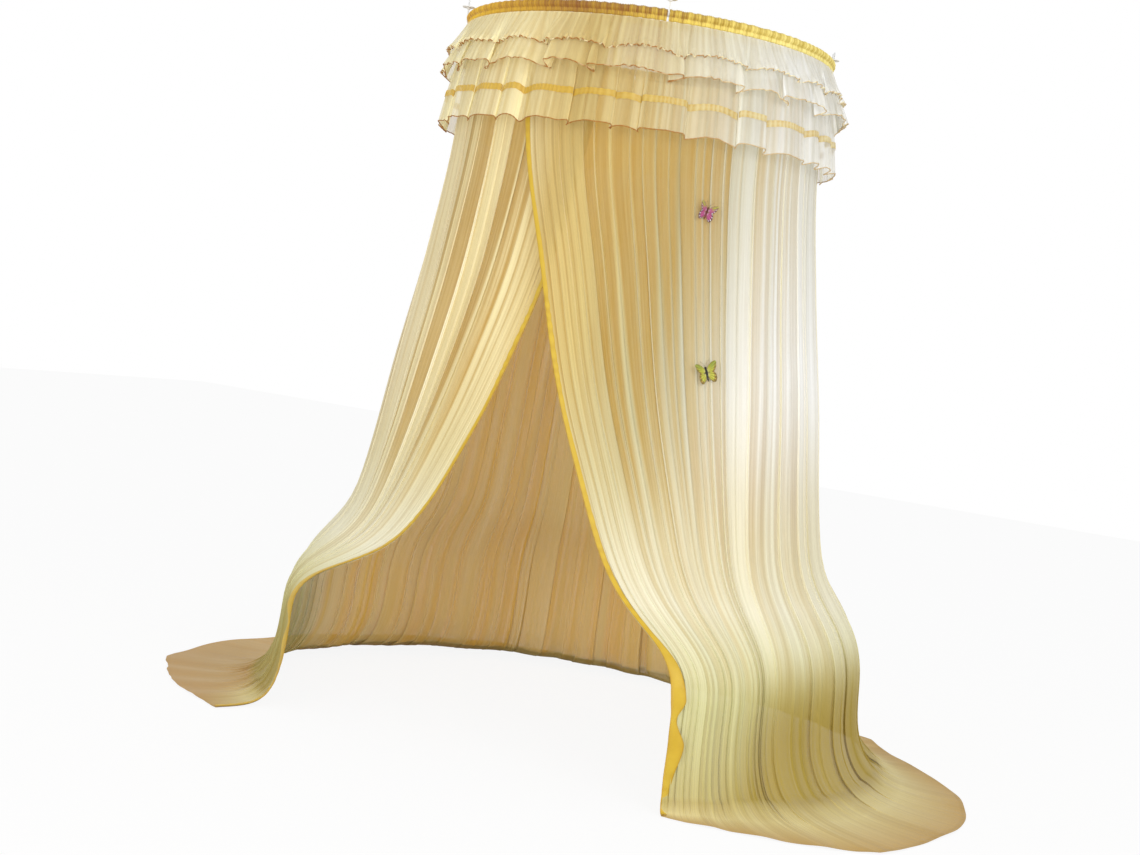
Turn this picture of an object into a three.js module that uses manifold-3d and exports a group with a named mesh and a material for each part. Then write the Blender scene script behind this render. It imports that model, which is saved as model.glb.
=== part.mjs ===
// Round bed crown canopy: a steel hoop under the ceiling carries a gathered band, three ruffles and a full
// net. Millimetres, +Z up. The origin is on the ceiling plane, on the axis of the hoop. The foot of the bed
// is on -Y.

import * as THREE from 'three';
import { mergeVertices } from 'three/addons/utils/BufferGeometryUtils.js';
import Module from 'manifold-3d';

const wasm = await Module();
wasm.setup();

const degree = Math.PI / 180;
const fullTurn = 360;

// Fits
const fit = 0.3; // clearance between pieces that touch
const overrun = 1; // how far a cut runs past the face it starts from

// Hoop of four tubes
const hoopRadius = 650; // to the tube's centre line
const hoopDrop = 45; // ceiling to the tube's centre line
const tubeDiameter = 16;
const tubeWall = 1.2;
const tubeSides = 8;
const hoopPieces = 4;
const hoopStep = 9; // degrees between the bends of the faceted ring
const hoopGap = 0.4; // between the ends of two tubes, round the hoop
const spigotLength = 90;
const spigotBore = 6;
const jointTurn = -13; // degrees, the first tube joint

// Ceiling hooks
const hookCount = 4;
const hookTurn = -58; // degrees, the first hook
const wireDiameter = 5;
const hookPlay = 1.2; // free room beside the tube in the hook
const hookTipRise = 4; // tip above the tube's centre line
const hookBendSteps = 8;
const wireSides = 6;

// Ceiling plates and their screws
const plateDiameter = 46;
const plateThickness = 3;
const plateEdge = 1;
const bossDiameter = 13;
const bossHeight = 6;
const bossBore = 5.6;
const bossBoreDepth = 7;
const plateSides = 16;
const screwSpacing = 30; // between the two screws of a plate
const screwDiameter = 4;
const screwHeadDiameter = 7.6;
const screwHeadHeight = 2.2;
const screwLength = 30;
const screwPoint = 5;
const screwSides = 10;
const screwsPerPlate = 2;

// Screws that lock the tube joints
const lockScrewDiameter = 3;
const lockHeadDiameter = 5.6;
const lockHeadTopShare = 0.5; // of the head's diameter, at its far face
const lockHeadHeight = 1.8;
const lockScrewLength = 5.5;
const lockScrewOffset = 24; // from the joint, round the hoop

// Gathered band, a rod pocket in four lengths
const bandTop = 32; // below the ceiling
const bandHeight = 40;
const bandCloth = 2; // cloth beside the tube
const bandSeam = 5; // thickness of the sewn edges
const hookGap = 16; // open length of the pocket at each hook

// Heading tape that the ruffles and the net are sewn to
const tapeWidth = 20;
const tapeThickness = 1.5;

// Ruffles, all hanging from the tape
const ruffleColumns = 80;
const ruffleFolds = 16;
const ruffleCloth = 2.4;
const ruffleTopWave = 1;
const ruffleStep = 3.1; // radius from one heading to the next
const ruffleStart = 3.2; // tape face to the first heading's middle
const upperRuffle = { drop: 145, flare: 56, wave: 11 }; // flare is how far the foot stands outside the hoop
const middleRuffle = { drop: 220, flare: 72, wave: 15 };
const lowerRuffle = { drop: 400, flare: 57, wave: 14 };

// Satin ribbon sewn round the lower ruffle
const ribbonDrop = 300; // top of the band to the ribbon's middle
const ribbonWidth = 22;
const ribbonThickness = 1.2;

// Net, in six widths that follow one hanging profile
const floorDrop = 2500; // top of the band to the floor
const netThickness = 3;
const netHeadingInset = 7.6; // hoop's centre line to the middle of the net's heading
const skirtFlare = 435; // how far outside the hoop the net reaches the floor
const seamGap = 1;
const netTopWave = 1.6;
const netWave = 15;
const netWaveRows = 4; // rows over which the folds grow to their full depth
const trainLift = 26;
const netFolds = 4;
const frontColumns = 16;
const sideColumns = 14;
const backColumns = 10;
const edgeFade = 0.3; // share of a front width over which its folds die out at the edge
const seamTurns = [-20, 50, 90, 130, 200]; // degrees, where two widths meet

// The hanging profile: shares of the drop, then shares of the way from the heading to the skirt radius
const rowShares = [0, 0.15, 0.33, 0.49, 0.62, 0.72, 0.775, 0.805, 0.86, 0.94, 1];
const spreadShares = [0, 0.025, 0.15, 0.3, 0.4, 0.52, 0.78, 0.87, 0.92, 0.94, 1];
const trainShares = [0.45, 1]; // of the way from the skirt radius to the hem

// Front edges: shares of the way from the hoop to the corner of the bed, for the same rows
const rightEdgeShares = [0, 0.035, 0.185, 0.33, 0.5, 0.65, 0.8, 0.97, 1, 1, 1];
const leftEdgeShares = [0, 0.035, 0.125, 0.26, 0.4, 0.54, 0.7, 0.97, 1, 1, 1];
const rightEdge = { headX: -115, cornerX: 790, cornerY: -735, hemX: 812, hemY: -765 };
const leftEdge = { headX: 185, cornerX: -715, cornerY: -735, hemX: -800, hemY: -960 };
const overlapTop = 8; // how far the left width hangs behind the right one
const overlapDeep = 26;
const overlapRows = 2; // rows over which it reaches that depth
const overlapShares = [1, 1, 1, 0.75, 0.3, 0, 0, 0, 0, 0, 0];
const overlapStartShare = 0.5;
const overlapFullShare = 0.72;

// How far outside the hoop the hem lies on the floor, at the seams and at the two front edges
const sideTrain = 870;
const backTrain = 530;
const rightEdgeTrain = 460;
const leftEdgeTrain = 600;

// Binding along the two front edges
const bindingWidth = 20;
const bindingThickness = 3;

// Butterflies held to the net by a pair of magnets
const magnetDiameter = 9;
const magnetThickness = 2.5;
const magnetSides = 12;
const magnetGap = 0.6;
const wingThickness = 1.2;
const wingRise = 24; // degrees, each wing above the net
const bodySides = 8;
const bodyRadiusShare = 0.085; // of half the span, as are the shares below

// Half a butterfly's wings from root to root: first point, then the two handles and the end of each curve
const wingStartShares = [0.09, 0.3];
const wingCurveShares = [
  [0.3, 0.85, 0.75, 1.02, 1, 0.92],
  [1.02, 0.55, 0.85, 0.2, 0.55, 0.02],
  [0.82, -0.12, 0.86, -0.5, 0.62, -0.72],
  [0.45, -0.86, 0.2, -0.55, 0.09, -0.2],
];

// A butterfly's body from tail to head: shares of its radius, and of half the span along it
const bodyShares = [
  [0, -0.62],
  [0.6, -0.4],
  [1, -0.05],
  [0.95, 0.3],
  [0.6, 0.38],
  [0.8, 0.5],
  [0, 0.62],
];
const butterflies = [
  { name: 'upper', across: 0.715, row: 1.5, span: 62, tilt: -14, wing: 0xc9649a, body: 0x4a1f1c },
  { name: 'lower', across: 0.715, row: 2.75, span: 80, tilt: 20, wing: 0xb7bf3f, body: 0x231c15 },
];

// Materials
const finish = (color, roughness, metalness = 0) =>
  new THREE.MeshStandardMaterial({ color, roughness, metalness, side: THREE.DoubleSide });
const steel = finish(0xb9bcc0, 0.35, 1);
const whitePaint = finish(0xf0efea, 0.45);
const screwSteel = finish(0xa9abae, 0.4, 1);
const goldCloth = finish(0xd9a621, 0.6);
const goldSatin = finish(0xe6b820, 0.4);
const creamTape = finish(0xf0e6bf, 0.8);
const creamNet = finish(0xf2e6b2, 0.85);
const magnetNickel = finish(0xb5b3ad, 0.3, 1);

const canopy = new THREE.Group();
canopy.name = 'bed_crown_canopy';

function add(name, geometry, material, parent = canopy) {
  const mesh = new THREE.Mesh(geometry, material);
  mesh.name = name;
  parent.add(mesh);
  return mesh;
}

function geometryOf(positions, triangles) {
  const geometry = new THREE.BufferGeometry();
  geometry.setAttribute('position', new THREE.Float32BufferAttribute(positions, 3));
  geometry.setIndex(triangles);
  return geometry;
}

function solidOf(geometry) {
  const bare = geometry.clone();
  bare.deleteAttribute('normal');
  bare.deleteAttribute('uv');
  const merged = mergeVertices(bare);
  const vertProperties = Float32Array.from(merged.attributes.position.array);
  const triVerts = Uint32Array.from(merged.index.array);
  return new wasm.Manifold(new wasm.Mesh({ numProp: 3, vertProperties, triVerts }));
}

function cut(geometry, ...tools) {
  const rest = tools.reduce((solid, tool) => solid.subtract(solidOf(tool)), solidOf(geometry));
  const mesh = rest.getMesh();
  return geometryOf(Array.from(mesh.vertProperties), Array.from(mesh.triVerts));
}

// A profile of [radius, height] points turned round the Z axis
function turned(points, sides) {
  const profile = points.map(([radius, height]) => new THREE.Vector2(radius, height));
  return new THREE.LatheGeometry(profile, sides).rotateX(Math.PI / 2);
}

// Points of a regular outline round a centre, anticlockwise, with a corner at the bottom
function roundOutline(radius, sides, lift = 0) {
  return Array.from({ length: sides }, (_, side) => {
    const turn = (side / sides) * 2 * Math.PI - Math.PI / 2;
    return new THREE.Vector2(radius * Math.cos(turn), radius * Math.sin(turn) + lift);
  });
}

// A section of (outward, up) points swept round the axis at the hoop's height, through the given angles.
// Open sweeps get a flat cap at each end.
function swept(outline, hole, angles, closed) {
  const loops = hole ? [outline, [...hole].reverse()] : [outline];
  const points = loops.flat();
  const positions = [];
  angles.forEach((angle) => {
    points.forEach((point) => {
      const reach = hoopRadius + point.x;
      positions.push(reach * Math.cos(angle * degree), reach * Math.sin(angle * degree), point.y - hoopDrop);
    });
  });
  const triangles = [];
  const stations = closed ? angles.length : angles.length - 1;
  for (let station = 0; station < stations; station += 1) {
    const here = station * points.length;
    const next = ((station + 1) % angles.length) * points.length;
    let start = 0;
    loops.forEach((loop) => {
      loop.forEach((_, k) => {
        const a = start + k;
        const b = start + ((k + 1) % loop.length);
        triangles.push(here + a, next + a, here + b, next + a, next + b, here + b);
      });
      start += loop.length;
    });
  }
  if (!closed) {
    const last = (angles.length - 1) * points.length;
    const holes = hole ? [loops[1]] : [];
    THREE.ShapeUtils.triangulateShape(outline, holes).forEach(([a, b, c]) => {
      triangles.push(a, b, c, last + a, last + c, last + b);
    });
  }
  return geometryOf(positions, triangles);
}

// Cloth of even thickness on a grid of middle points, rows going down and columns going round.
// Its side edges stand square to the circle round the axis, so that two widths meet edge to edge.
function cloth(grid, thickness, closed = false) {
  const rows = grid.length;
  const columns = grid[0].length;
  const wrap = (j) => (closed ? (j + columns) % columns : Math.min(Math.max(j, 0), columns - 1));
  const at = (i, j) => grid[Math.min(Math.max(i, 0), rows - 1)][wrap(j)];
  const outer = [];
  const inner = [];
  for (let i = 0; i < rows; i += 1) {
    for (let j = 0; j < columns; j += 1) {
      const down = at(i + 1, j).clone().sub(at(i - 1, j));
      const rim = !closed && (j === 0 || j === columns - 1);
      const along = at(i, j + 1).clone().sub(at(i, j - 1));
      if (rim) along.set(-at(i, j).y, at(i, j).x, 0);
      const offset = down.cross(along).normalize().multiplyScalar(thickness / 2);
      outer.push(...at(i, j).clone().add(offset).toArray());
      inner.push(...at(i, j).clone().sub(offset).toArray());
    }
  }
  const back = rows * columns;
  const triangles = [];
  const quad = (a, b, c, d) => triangles.push(a, b, c, a, c, d);
  const spans = closed ? columns : columns - 1;
  for (let j = 0; j < spans; j += 1) {
    const next = wrap(j + 1);
    for (let i = 0; i < rows - 1; i += 1) {
      const [a, b] = [i * columns + j, (i + 1) * columns + j];
      const [c, d] = [(i + 1) * columns + next, i * columns + next];
      quad(a, b, c, d);
      quad(back + a, back + d, back + c, back + b);
    }
    const foot = (rows - 1) * columns;
    quad(j, next, back + next, back + j);
    quad(foot + j, back + foot + j, back + foot + next, foot + next);
  }
  if (!closed) {
    for (let i = 0; i < rows - 1; i += 1) {
      const [a, b] = [i * columns, (i + 1) * columns];
      const [c, d] = [a + columns - 1, b + columns - 1];
      quad(a, back + a, back + b, b);
      quad(c, d, back + d, back + c);
    }
  }
  return geometryOf([...outer, ...inner], triangles);
}

const around = (radius, angle, height) =>
  new THREE.Vector3(radius * Math.cos(angle * degree), radius * Math.sin(angle * degree), height);

// Hoop
const tubeRadius = tubeDiameter / 2;
const tubeBore = tubeRadius - tubeWall;
const perPiece = fullTurn / hoopPieces;
const turnOf = (length) => length / hoopRadius / degree;
const hookTurns = Array.from({ length: hookCount }, (_, k) => hookTurn + (k * fullTurn) / hookCount);
const jointTurns = Array.from({ length: hoopPieces }, (_, k) => jointTurn + k * perPiece);

// Every ring on the hoop bends at the same angles, so that their flats lie side by side
const lockTurns = jointTurns.map((turn) => turn + turnOf(lockScrewOffset));
const sharedTurns = [
  ...Array.from({ length: Math.round(fullTurn / hoopStep) }, (_, k) => hookTurn + k * hoopStep),
  ...lockTurns,
  ...hookTurns.flatMap((turn) => [turn - turnOf(hookGap) / 2, turn + turnOf(hookGap) / 2]),
  ...jointTurns.flatMap((turn) => [turn - turnOf(spigotLength) / 2, turn, turn + turnOf(spigotLength) / 2]),
];

function turnsBetween(from, to) {
  const shared = sharedTurns.map((turn) => turn + Math.ceil((from - turn) / fullTurn) * fullTurn);
  const near = turnOf(overrun);
  const inside = shared.filter((turn) => turn > from + near && turn < to - near);
  return [from, ...new Set(inside.sort((a, b) => a - b)), to];
}

// A screw, or the drill for it, goes up into the underside of the tube at one angle
function underTube(geometry, angle) {
  return geometry.translate(hoopRadius, 0, -hoopDrop - tubeRadius).rotateZ(angle * degree);
}

const lockCut = (angle) => {
  const drill = turned(
    [
      [0, -lockHeadHeight - overrun],
      [lockScrewDiameter / 2 + fit, -lockHeadHeight - overrun],
      [lockScrewDiameter / 2 + fit, lockScrewLength + fit],
      [0, lockScrewLength + fit],
    ],
    screwSides,
  );
  return underTube(drill, angle);
};

function makeHoop() {
  const outline = roundOutline(tubeRadius, tubeSides);
  const bore = roundOutline(tubeBore, tubeSides);
  const spigotOutline = roundOutline(tubeBore - fit, tubeSides);
  const spigotHole = roundOutline(spigotBore / 2, tubeSides);
  jointTurns.forEach((turn, k) => {
    const from = turn + turnOf(hoopGap) / 2;
    const to = turn + perPiece - turnOf(hoopGap) / 2;
    const tube = swept(outline, bore, turnsBetween(from, to), false);
    add(`hoop_tube_${k + 1}`, cut(tube, lockCut(lockTurns[k])), steel);
    const half = turnOf(spigotLength) / 2;
    const spigot = swept(spigotOutline, spigotHole, turnsBetween(turn - half, turn + half), false);
    add(`joint_spigot_${k + 1}`, cut(spigot, lockCut(lockTurns[k])), steel);
  });
}

function makeLockScrews() {
  lockTurns.forEach((turn, k) => {
    const screw = turned(
      [
        [0, -lockHeadHeight],
        [(lockHeadDiameter / 2) * lockHeadTopShare, -lockHeadHeight],
        [lockHeadDiameter / 2, -fit],
        [lockScrewDiameter / 2, -fit],
        [lockScrewDiameter / 2, lockScrewLength],
        [0, lockScrewLength],
      ],
      screwSides,
    );
    add(`joint_screw_${k + 1}`, underTube(screw, turn), screwSteel);
  });
}

// Hooks: straight shank outside the tube, a half-round bend under it and a short tip inside
const wireRadius = wireDiameter / 2;
const bendRadius = tubeRadius + wireRadius + fit + hookPlay;
const bendCentre = -hoopDrop + hookPlay;
const shankTop = -plateThickness - bossHeight + bossBoreDepth - fit;

class HookLine extends THREE.Curve {
  getPoint(t) {
    const shank = shankTop - bendCentre;
    const bend = Math.PI * bendRadius;
    const tip = -hoopDrop + hookTipRise - bendCentre;
    const run = t * (shank + bend + tip);
    if (run < shank) return new THREE.Vector3(bendRadius, 0, shankTop - run);
    if (run > shank + bend) return new THREE.Vector3(-bendRadius, 0, bendCentre + run - shank - bend);
    const turn = (run - shank) / bendRadius;
    return new THREE.Vector3(bendRadius * Math.cos(turn), 0, bendCentre - bendRadius * Math.sin(turn));
  }
}

function makeHooks() {
  const line = new HookLine();
  const section = new THREE.Shape(roundOutline(wireRadius, wireSides));
  const shankShare = (shankTop - bendCentre) / (shankTop - bendCentre + Math.PI * bendRadius);
  const steps = Math.round(hookBendSteps / (1 - shankShare));
  hookTurns.forEach((turn, k) => {
    const wire = new THREE.ExtrudeGeometry(section, { steps, extrudePath: line });
    wire.translate(hoopRadius, 0, 0);
    add(`ceiling_hook_${k + 1}`, wire.rotateZ(turn * degree), whitePaint);
  });
}

// Ceiling plates: a round plate with a boss that takes the hook, and two countersunk screw holes
function makePlates() {
  const radius = plateDiameter / 2;
  const holeRadius = screwDiameter / 2 + fit;
  const plate = turned(
    [
      [0, -plateThickness - bossHeight + bossBoreDepth],
      [bossBore / 2, -plateThickness - bossHeight + bossBoreDepth],
      [bossBore / 2, -plateThickness - bossHeight],
      [bossDiameter / 2 - plateEdge, -plateThickness - bossHeight],
      [bossDiameter / 2, -plateThickness - bossHeight + plateEdge],
      [bossDiameter / 2 + plateEdge, -plateThickness],
      [radius - plateEdge, -plateThickness],
      [radius, -plateThickness + plateEdge],
      [radius, 0],
      [0, 0],
    ],
    plateSides,
  );
  const headRadius = screwHeadDiameter / 2 + fit;
  const sink = turned(
    [
      [0, -plateThickness - overrun],
      [headRadius, -plateThickness - overrun],
      [headRadius, -plateThickness],
      [holeRadius, -plateThickness + screwHeadHeight],
      [holeRadius, overrun],
      [0, overrun],
    ],
    screwSides,
  );
  const sides = [-1, 1];
  const cutters = sides.map((side) => sink.clone().translate(0, (side * screwSpacing) / 2, 0));
  const drilled = cut(plate, ...cutters);
  hookTurns.forEach((turn, k) => {
    const seat = hoopRadius + bendRadius;
    add(`ceiling_plate_${k + 1}`, drilled.clone().translate(seat, 0, 0).rotateZ(turn * degree), whitePaint);
    sides.forEach((side, s) => {
      const screw = turned(
        [
          [0, -plateThickness + fit],
          [screwHeadDiameter / 2, -plateThickness + fit],
          [screwDiameter / 2, -plateThickness + fit + screwHeadHeight],
          [screwDiameter / 2, screwLength - plateThickness - screwPoint],
          [0, screwLength - plateThickness],
        ],
        screwSides,
      );
      screw.translate(seat, (side * screwSpacing) / 2, 0);
      add(`plate_screw_${k * screwsPerPlate + s + 1}`, screw.rotateZ(turn * degree), screwSteel);
    });
  });
}

// Band: the pocket hangs on top of the tube and closes in a sewn edge above and below it
function makeBand() {
  const pocket = tubeRadius + lockHeadHeight + 2 * fit;
  const centre = tubeRadius + fit - pocket;
  const top = hoopDrop - bandTop;
  const bottom = top - bandHeight;
  const wide = (pocket + bandCloth) * Math.SQRT1_2;
  const seam = bandSeam / 2;
  const right = [
    [seam, bottom],
    [wide + bandCloth / 2, centre - wide],
    [pocket + bandCloth, centre],
    [wide, centre + wide],
    [seam, top],
  ];
  const left = [...right].reverse().map(([x, y]) => [-x, y]);
  const outline = [...right, ...left].map(([x, y]) => new THREE.Vector2(x, y));
  const hole = roundOutline(pocket, tubeSides, centre);
  hookTurns.forEach((turn, k) => {
    const from = turn + turnOf(hookGap) / 2;
    const to = turn + fullTurn / hookCount - turnOf(hookGap) / 2;
    add(`gathered_band_${k + 1}`, swept(outline, hole, turnsBetween(from, to), false), goldCloth);
  });
}

const tapeTop = -bandTop - bandHeight - fit;

function makeTape() {
  const half = tapeThickness / 2;
  const top = tapeTop + hoopDrop;
  const outline = [
    [half, top - tapeWidth],
    [half, top],
    [-half, top],
    [-half, top - tapeWidth],
  ].map(([x, y]) => new THREE.Vector2(x, y));
  const turns = turnsBetween(hookTurn, hookTurn + fullTurn).slice(0, -1);
  add('heading_tape', swept(outline, null, turns, true), creamTape);
}

// Ruffles: straight from heading to edge, with the same folds growing downwards on all three
function ruffleGrid(ruffle, layer, heights, offset = 0) {
  const headRadius = hoopRadius + tapeThickness / 2 + ruffleStart + layer * ruffleStep;
  const foot = -bandTop - ruffle.drop;
  return heights.map((height) => {
    const share = (tapeTop - height) / (tapeTop - foot);
    const radius = THREE.MathUtils.lerp(headRadius, hoopRadius + ruffle.flare, share);
    const wave = THREE.MathUtils.lerp(ruffleTopWave, ruffle.wave, share);
    return Array.from({ length: ruffleColumns }, (_, column) => {
      const turn = (column / ruffleColumns) * fullTurn;
      const fold = wave * Math.cos(ruffleFolds * turn * degree);
      return around(radius + fold + offset, turn, height);
    });
  });
}

function makeRuffles() {
  const layers = { lower_ruffle: lowerRuffle, middle_ruffle: middleRuffle, upper_ruffle: upperRuffle };
  const middle = -bandTop - ribbonDrop;
  const heights = [middle + ribbonWidth / 2, middle - ribbonWidth / 2];
  Object.entries(layers).forEach(([name, ruffle], layer) => {
    const foot = -bandTop - ruffle.drop;
    const bends = heights.filter((height) => height > foot);
    add(name, cloth(ruffleGrid(ruffle, layer, [tapeTop, ...bends, foot]), ruffleCloth, true), creamNet);
  });
  const proud = ruffleCloth / 2 + 2 * fit + ribbonThickness / 2;
  const ribbon = cloth(ruffleGrid(lowerRuffle, 0, heights, proud), ribbonThickness, true);
  add('satin_ribbon', ribbon, goldSatin);
}

// Net: guides are the lines down the seams and down the two front edges
const netTop = tapeTop;
const floor = -bandTop - floorDrop;
const netFoot = floor + netThickness / 2;
const headingRadius = hoopRadius - netHeadingInset;
const skirtRadius = hoopRadius + skirtFlare;
const rowHeights = rowShares.map((share) => THREE.MathUtils.lerp(netTop, netFoot, share));
const rowRadii = spreadShares.map((share) => THREE.MathUtils.lerp(headingRadius, skirtRadius, share));

function seamGuide(turn, beyond) {
  const rows = rowHeights.map((height, k) => ({ turn, radius: rowRadii[k], height }));
  const train = trainShares.map((share) => ({
    turn,
    radius: THREE.MathUtils.lerp(skirtRadius, hoopRadius + beyond, share),
    height: netFoot,
  }));
  return [...rows, ...train];
}

function edgeGuide(edge, shares, beyond, base) {
  const headY = -Math.sqrt(headingRadius ** 2 - edge.headX ** 2);
  const polar = (x, y, height) => ({
    turn: base + ((Math.atan2(y, x) / degree - base) % fullTurn),
    radius: Math.hypot(x, y),
    height,
  });
  const rows = rowHeights.map((height, k) => {
    const x = THREE.MathUtils.lerp(edge.headX, edge.cornerX, shares[k]);
    const y = THREE.MathUtils.lerp(headY, edge.cornerY, shares[k]);
    return polar(x, y, height);
  });
  const corner = Math.hypot(edge.hemX, edge.hemY);
  const hemTurn = Math.atan2(edge.hemY, edge.hemX) / degree;
  const train = trainShares.map((share) => {
    const hem = Math.max(hoopRadius + beyond, corner);
    const radius = THREE.MathUtils.lerp(rows[rows.length - 1].radius, hem, share);
    return polar(radius * Math.cos(hemTurn * degree), radius * Math.sin(hemTurn * degree), netFoot);
  });
  return [...rows, ...train];
}

const smooth = (low, high, value) => THREE.MathUtils.smoothstep(value, low, high);

// One width between two guides: wave is the fold depth, quiet says how calm it is at a share across
function widthGrid(start, end, columns, { quiet = () => 1, tuck = () => 0, from = () => 0, to = () => 0 }) {
  const lastRow = rowShares.length - 1;
  return start.map((_, row) => {
    const [a, b] = [start[row], end[row]];
    const depth = THREE.MathUtils.lerp(netTopWave, netWave, Math.min(row / netWaveRows, 1));
    return Array.from({ length: columns + 1 }, (_, column) => {
      const share = column / columns;
      const low = a.turn + from(a) / a.radius / degree;
      const high = b.turn - to(b) / b.radius / degree;
      const turn = THREE.MathUtils.lerp(low, high, share);
      const radius = THREE.MathUtils.lerp(a.radius, b.radius, share);
      const fold = Math.cos(share * netFolds * 2 * Math.PI) * quiet(share);
      const lift = (trainLift * (quiet(share) - fold)) / 2;
      if (row > lastRow) return around(radius, turn, netFoot + lift);
      const rise = row === lastRow ? lift / 2 : 0;
      return around(radius + fold * depth - tuck(share, row), turn, a.height + rise);
    });
  });
}

const seamTrim = () => seamGap / 2;
const edgeTrim = () => bindingWidth + fit;
const guides = {
  rightEdge: edgeGuide(rightEdge, rightEdgeShares, rightEdgeTrain, 0),
  right: seamGuide(seamTurns[0], sideTrain),
  backRight: seamGuide(seamTurns[1], sideTrain),
  back: seamGuide(seamTurns[2], backTrain),
  backLeft: seamGuide(seamTurns[3], sideTrain),
  left: seamGuide(seamTurns[4], sideTrain),
  leftEdge: edgeGuide(leftEdge, leftEdgeShares, leftEdgeTrain, fullTurn),
};
const leftTuck = (share, row) => {
  const depth = THREE.MathUtils.lerp(overlapTop, overlapDeep, Math.min(row / overlapRows, 1));
  return depth * (overlapShares[row] ?? 0) * smooth(overlapStartShare, overlapFullShare, share);
};
const rightQuiet = (share) => smooth(0, edgeFade, share);
const leftQuiet = (share) => 1 - smooth(1 - edgeFade, 1, share);
const plainWidth = { from: seamTrim, to: seamTrim };
const rightFront = widthGrid(guides.rightEdge, guides.right, frontColumns, {
  quiet: rightQuiet,
  from: edgeTrim,
  to: seamTrim,
});
const leftFront = widthGrid(guides.left, guides.leftEdge, frontColumns, {
  quiet: leftQuiet,
  tuck: leftTuck,
  from: seamTrim,
  to: edgeTrim,
});

function makeNet() {
  const widths = {
    side_right_net: widthGrid(guides.right, guides.backRight, sideColumns, plainWidth),
    back_right_net: widthGrid(guides.backRight, guides.back, backColumns, plainWidth),
    back_left_net: widthGrid(guides.back, guides.backLeft, backColumns, plainWidth),
    side_left_net: widthGrid(guides.backLeft, guides.left, sideColumns, plainWidth),
    front_right_net: rightFront,
    front_left_net: leftFront,
  };
  Object.entries(widths).forEach(([name, grid]) => add(name, cloth(grid, netThickness), creamNet));
}

// Bindings: flat strips that continue the front widths to their edges
function bindingGrid(edge, distances, tuck) {
  return edge.map((point, row) =>
    distances.map((distance) => {
      const turn = point.turn + distance / point.radius / degree;
      return around(point.radius - tuck(row), turn, point.height);
    }),
  );
}

function makeBindings() {
  const none = () => 0;
  const right = bindingGrid(guides.rightEdge, [0, bindingWidth], none);
  const left = bindingGrid(guides.leftEdge, [-bindingWidth, 0], (row) => leftTuck(1, row));
  add('right_binding', cloth(right, bindingThickness), goldSatin);
  add('left_binding', cloth(left, bindingThickness), goldSatin);
}

// One butterfly, built flat on the XY plane with its head towards +Y
function wingShape(half) {
  const shape = new THREE.Shape();
  shape.moveTo(...wingStartShares.map((share) => share * half));
  wingCurveShares.forEach((curve) => shape.bezierCurveTo(...curve.map((share) => share * half)));
  shape.closePath();
  return shape;
}

function makeButterfly(butterfly) {
  const half = butterfly.span / 2;
  const bodyRadius = half * bodyRadiusShare;
  const grid = rightFront;
  const column = Math.floor(butterfly.across * frontColumns);
  const row = Math.floor(butterfly.row);
  const [a, d] = [grid[row][column], grid[row][column + 1]];
  const [b, c] = [grid[row + 1][column], grid[row + 1][column + 1]];
  const down = butterfly.row - row;
  const across = butterfly.across * frontColumns - column;
  const facet = across > down ? new THREE.Triangle(a, c, d) : new THREE.Triangle(a, b, c);
  const outwards = facet.getNormal(new THREE.Vector3());
  const side = across > down ? d.clone().sub(a) : c.clone().sub(b);
  const fall = across > down ? c.clone().sub(d) : b.clone().sub(a);
  const spot = a.clone().addScaledVector(side, across).addScaledVector(fall, down);
  const up = new THREE.Vector3(0, 0, 1).projectOnPlane(outwards).normalize();
  const right = up.clone().cross(outwards);
  const holder = new THREE.Group();
  holder.position.copy(spot);
  holder.quaternion.setFromRotationMatrix(new THREE.Matrix4().makeBasis(right, up, outwards));
  const insect = new THREE.Group();
  insect.rotation.z = butterfly.tilt * degree;
  holder.add(insect);
  canopy.add(holder);
  const face = netThickness / 2 + magnetGap;
  const wingFinish = finish(butterfly.wing, 0.55);
  const bodyFinish = finish(butterfly.body, 0.5);
  const magnetRadius = magnetDiameter / 2;
  const disc = new THREE.CylinderGeometry(magnetRadius, magnetRadius, magnetThickness, magnetSides);
  disc.rotateX(Math.PI / 2);
  const front = disc.clone().translate(0, 0, face + magnetThickness / 2);
  const rear = disc.clone().translate(0, 0, -face - magnetThickness / 2);
  add(`${butterfly.name}_butterfly_front_magnet`, front, magnetNickel, insect);
  add(`${butterfly.name}_butterfly_rear_magnet`, rear, magnetNickel, insect);
  const bodyHeight = face + magnetThickness + fit + bodyRadius;
  const profile = bodyShares.map(([wide, along]) => [wide * bodyRadius, along * half]);
  const body = turned(profile, bodySides);
  body.rotateX(-Math.PI / 2).translate(0, 0, bodyHeight);
  add(`${butterfly.name}_butterfly_body`, body, bodyFinish, insect);
  const wings = new THREE.ExtrudeGeometry(wingShape(half), {
    depth: wingThickness,
    bevelEnabled: false,
    curveSegments: 4,
  });
  wings.translate(0, 0, -wingThickness / 2);
  wings.translate(fit, 0, 0).rotateY(-wingRise * degree).translate(0, 0, bodyHeight);
  const flipped = wings.clone().scale(-1, 1, 1);
  const corners = flipped.attributes.position.count / 3;
  const order = Array.from({ length: corners }, (_, k) => [3 * k, 3 * k + 2, 3 * k + 1]).flat();
  flipped.setIndex(order);
  add(`${butterfly.name}_butterfly_right_wings`, wings, wingFinish, insect);
  add(`${butterfly.name}_butterfly_left_wings`, flipped, wingFinish, insect);
}

makePlates();
makeHooks();
makeHoop();
makeLockScrews();
makeBand();
makeTape();
makeRuffles();
makeNet();
makeBindings();
butterflies.forEach(makeButterfly);

export default canopy;
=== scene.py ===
# Bed crown canopy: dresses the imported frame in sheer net, ruffles, a gathered band, satin trim and butterflies.
# Metres, +Z up, origin on the ceiling plane on the hoop's axis, the opening towards -Y.
import math

import bpy
import numpy as np
from mathutils import Matrix, Vector


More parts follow.
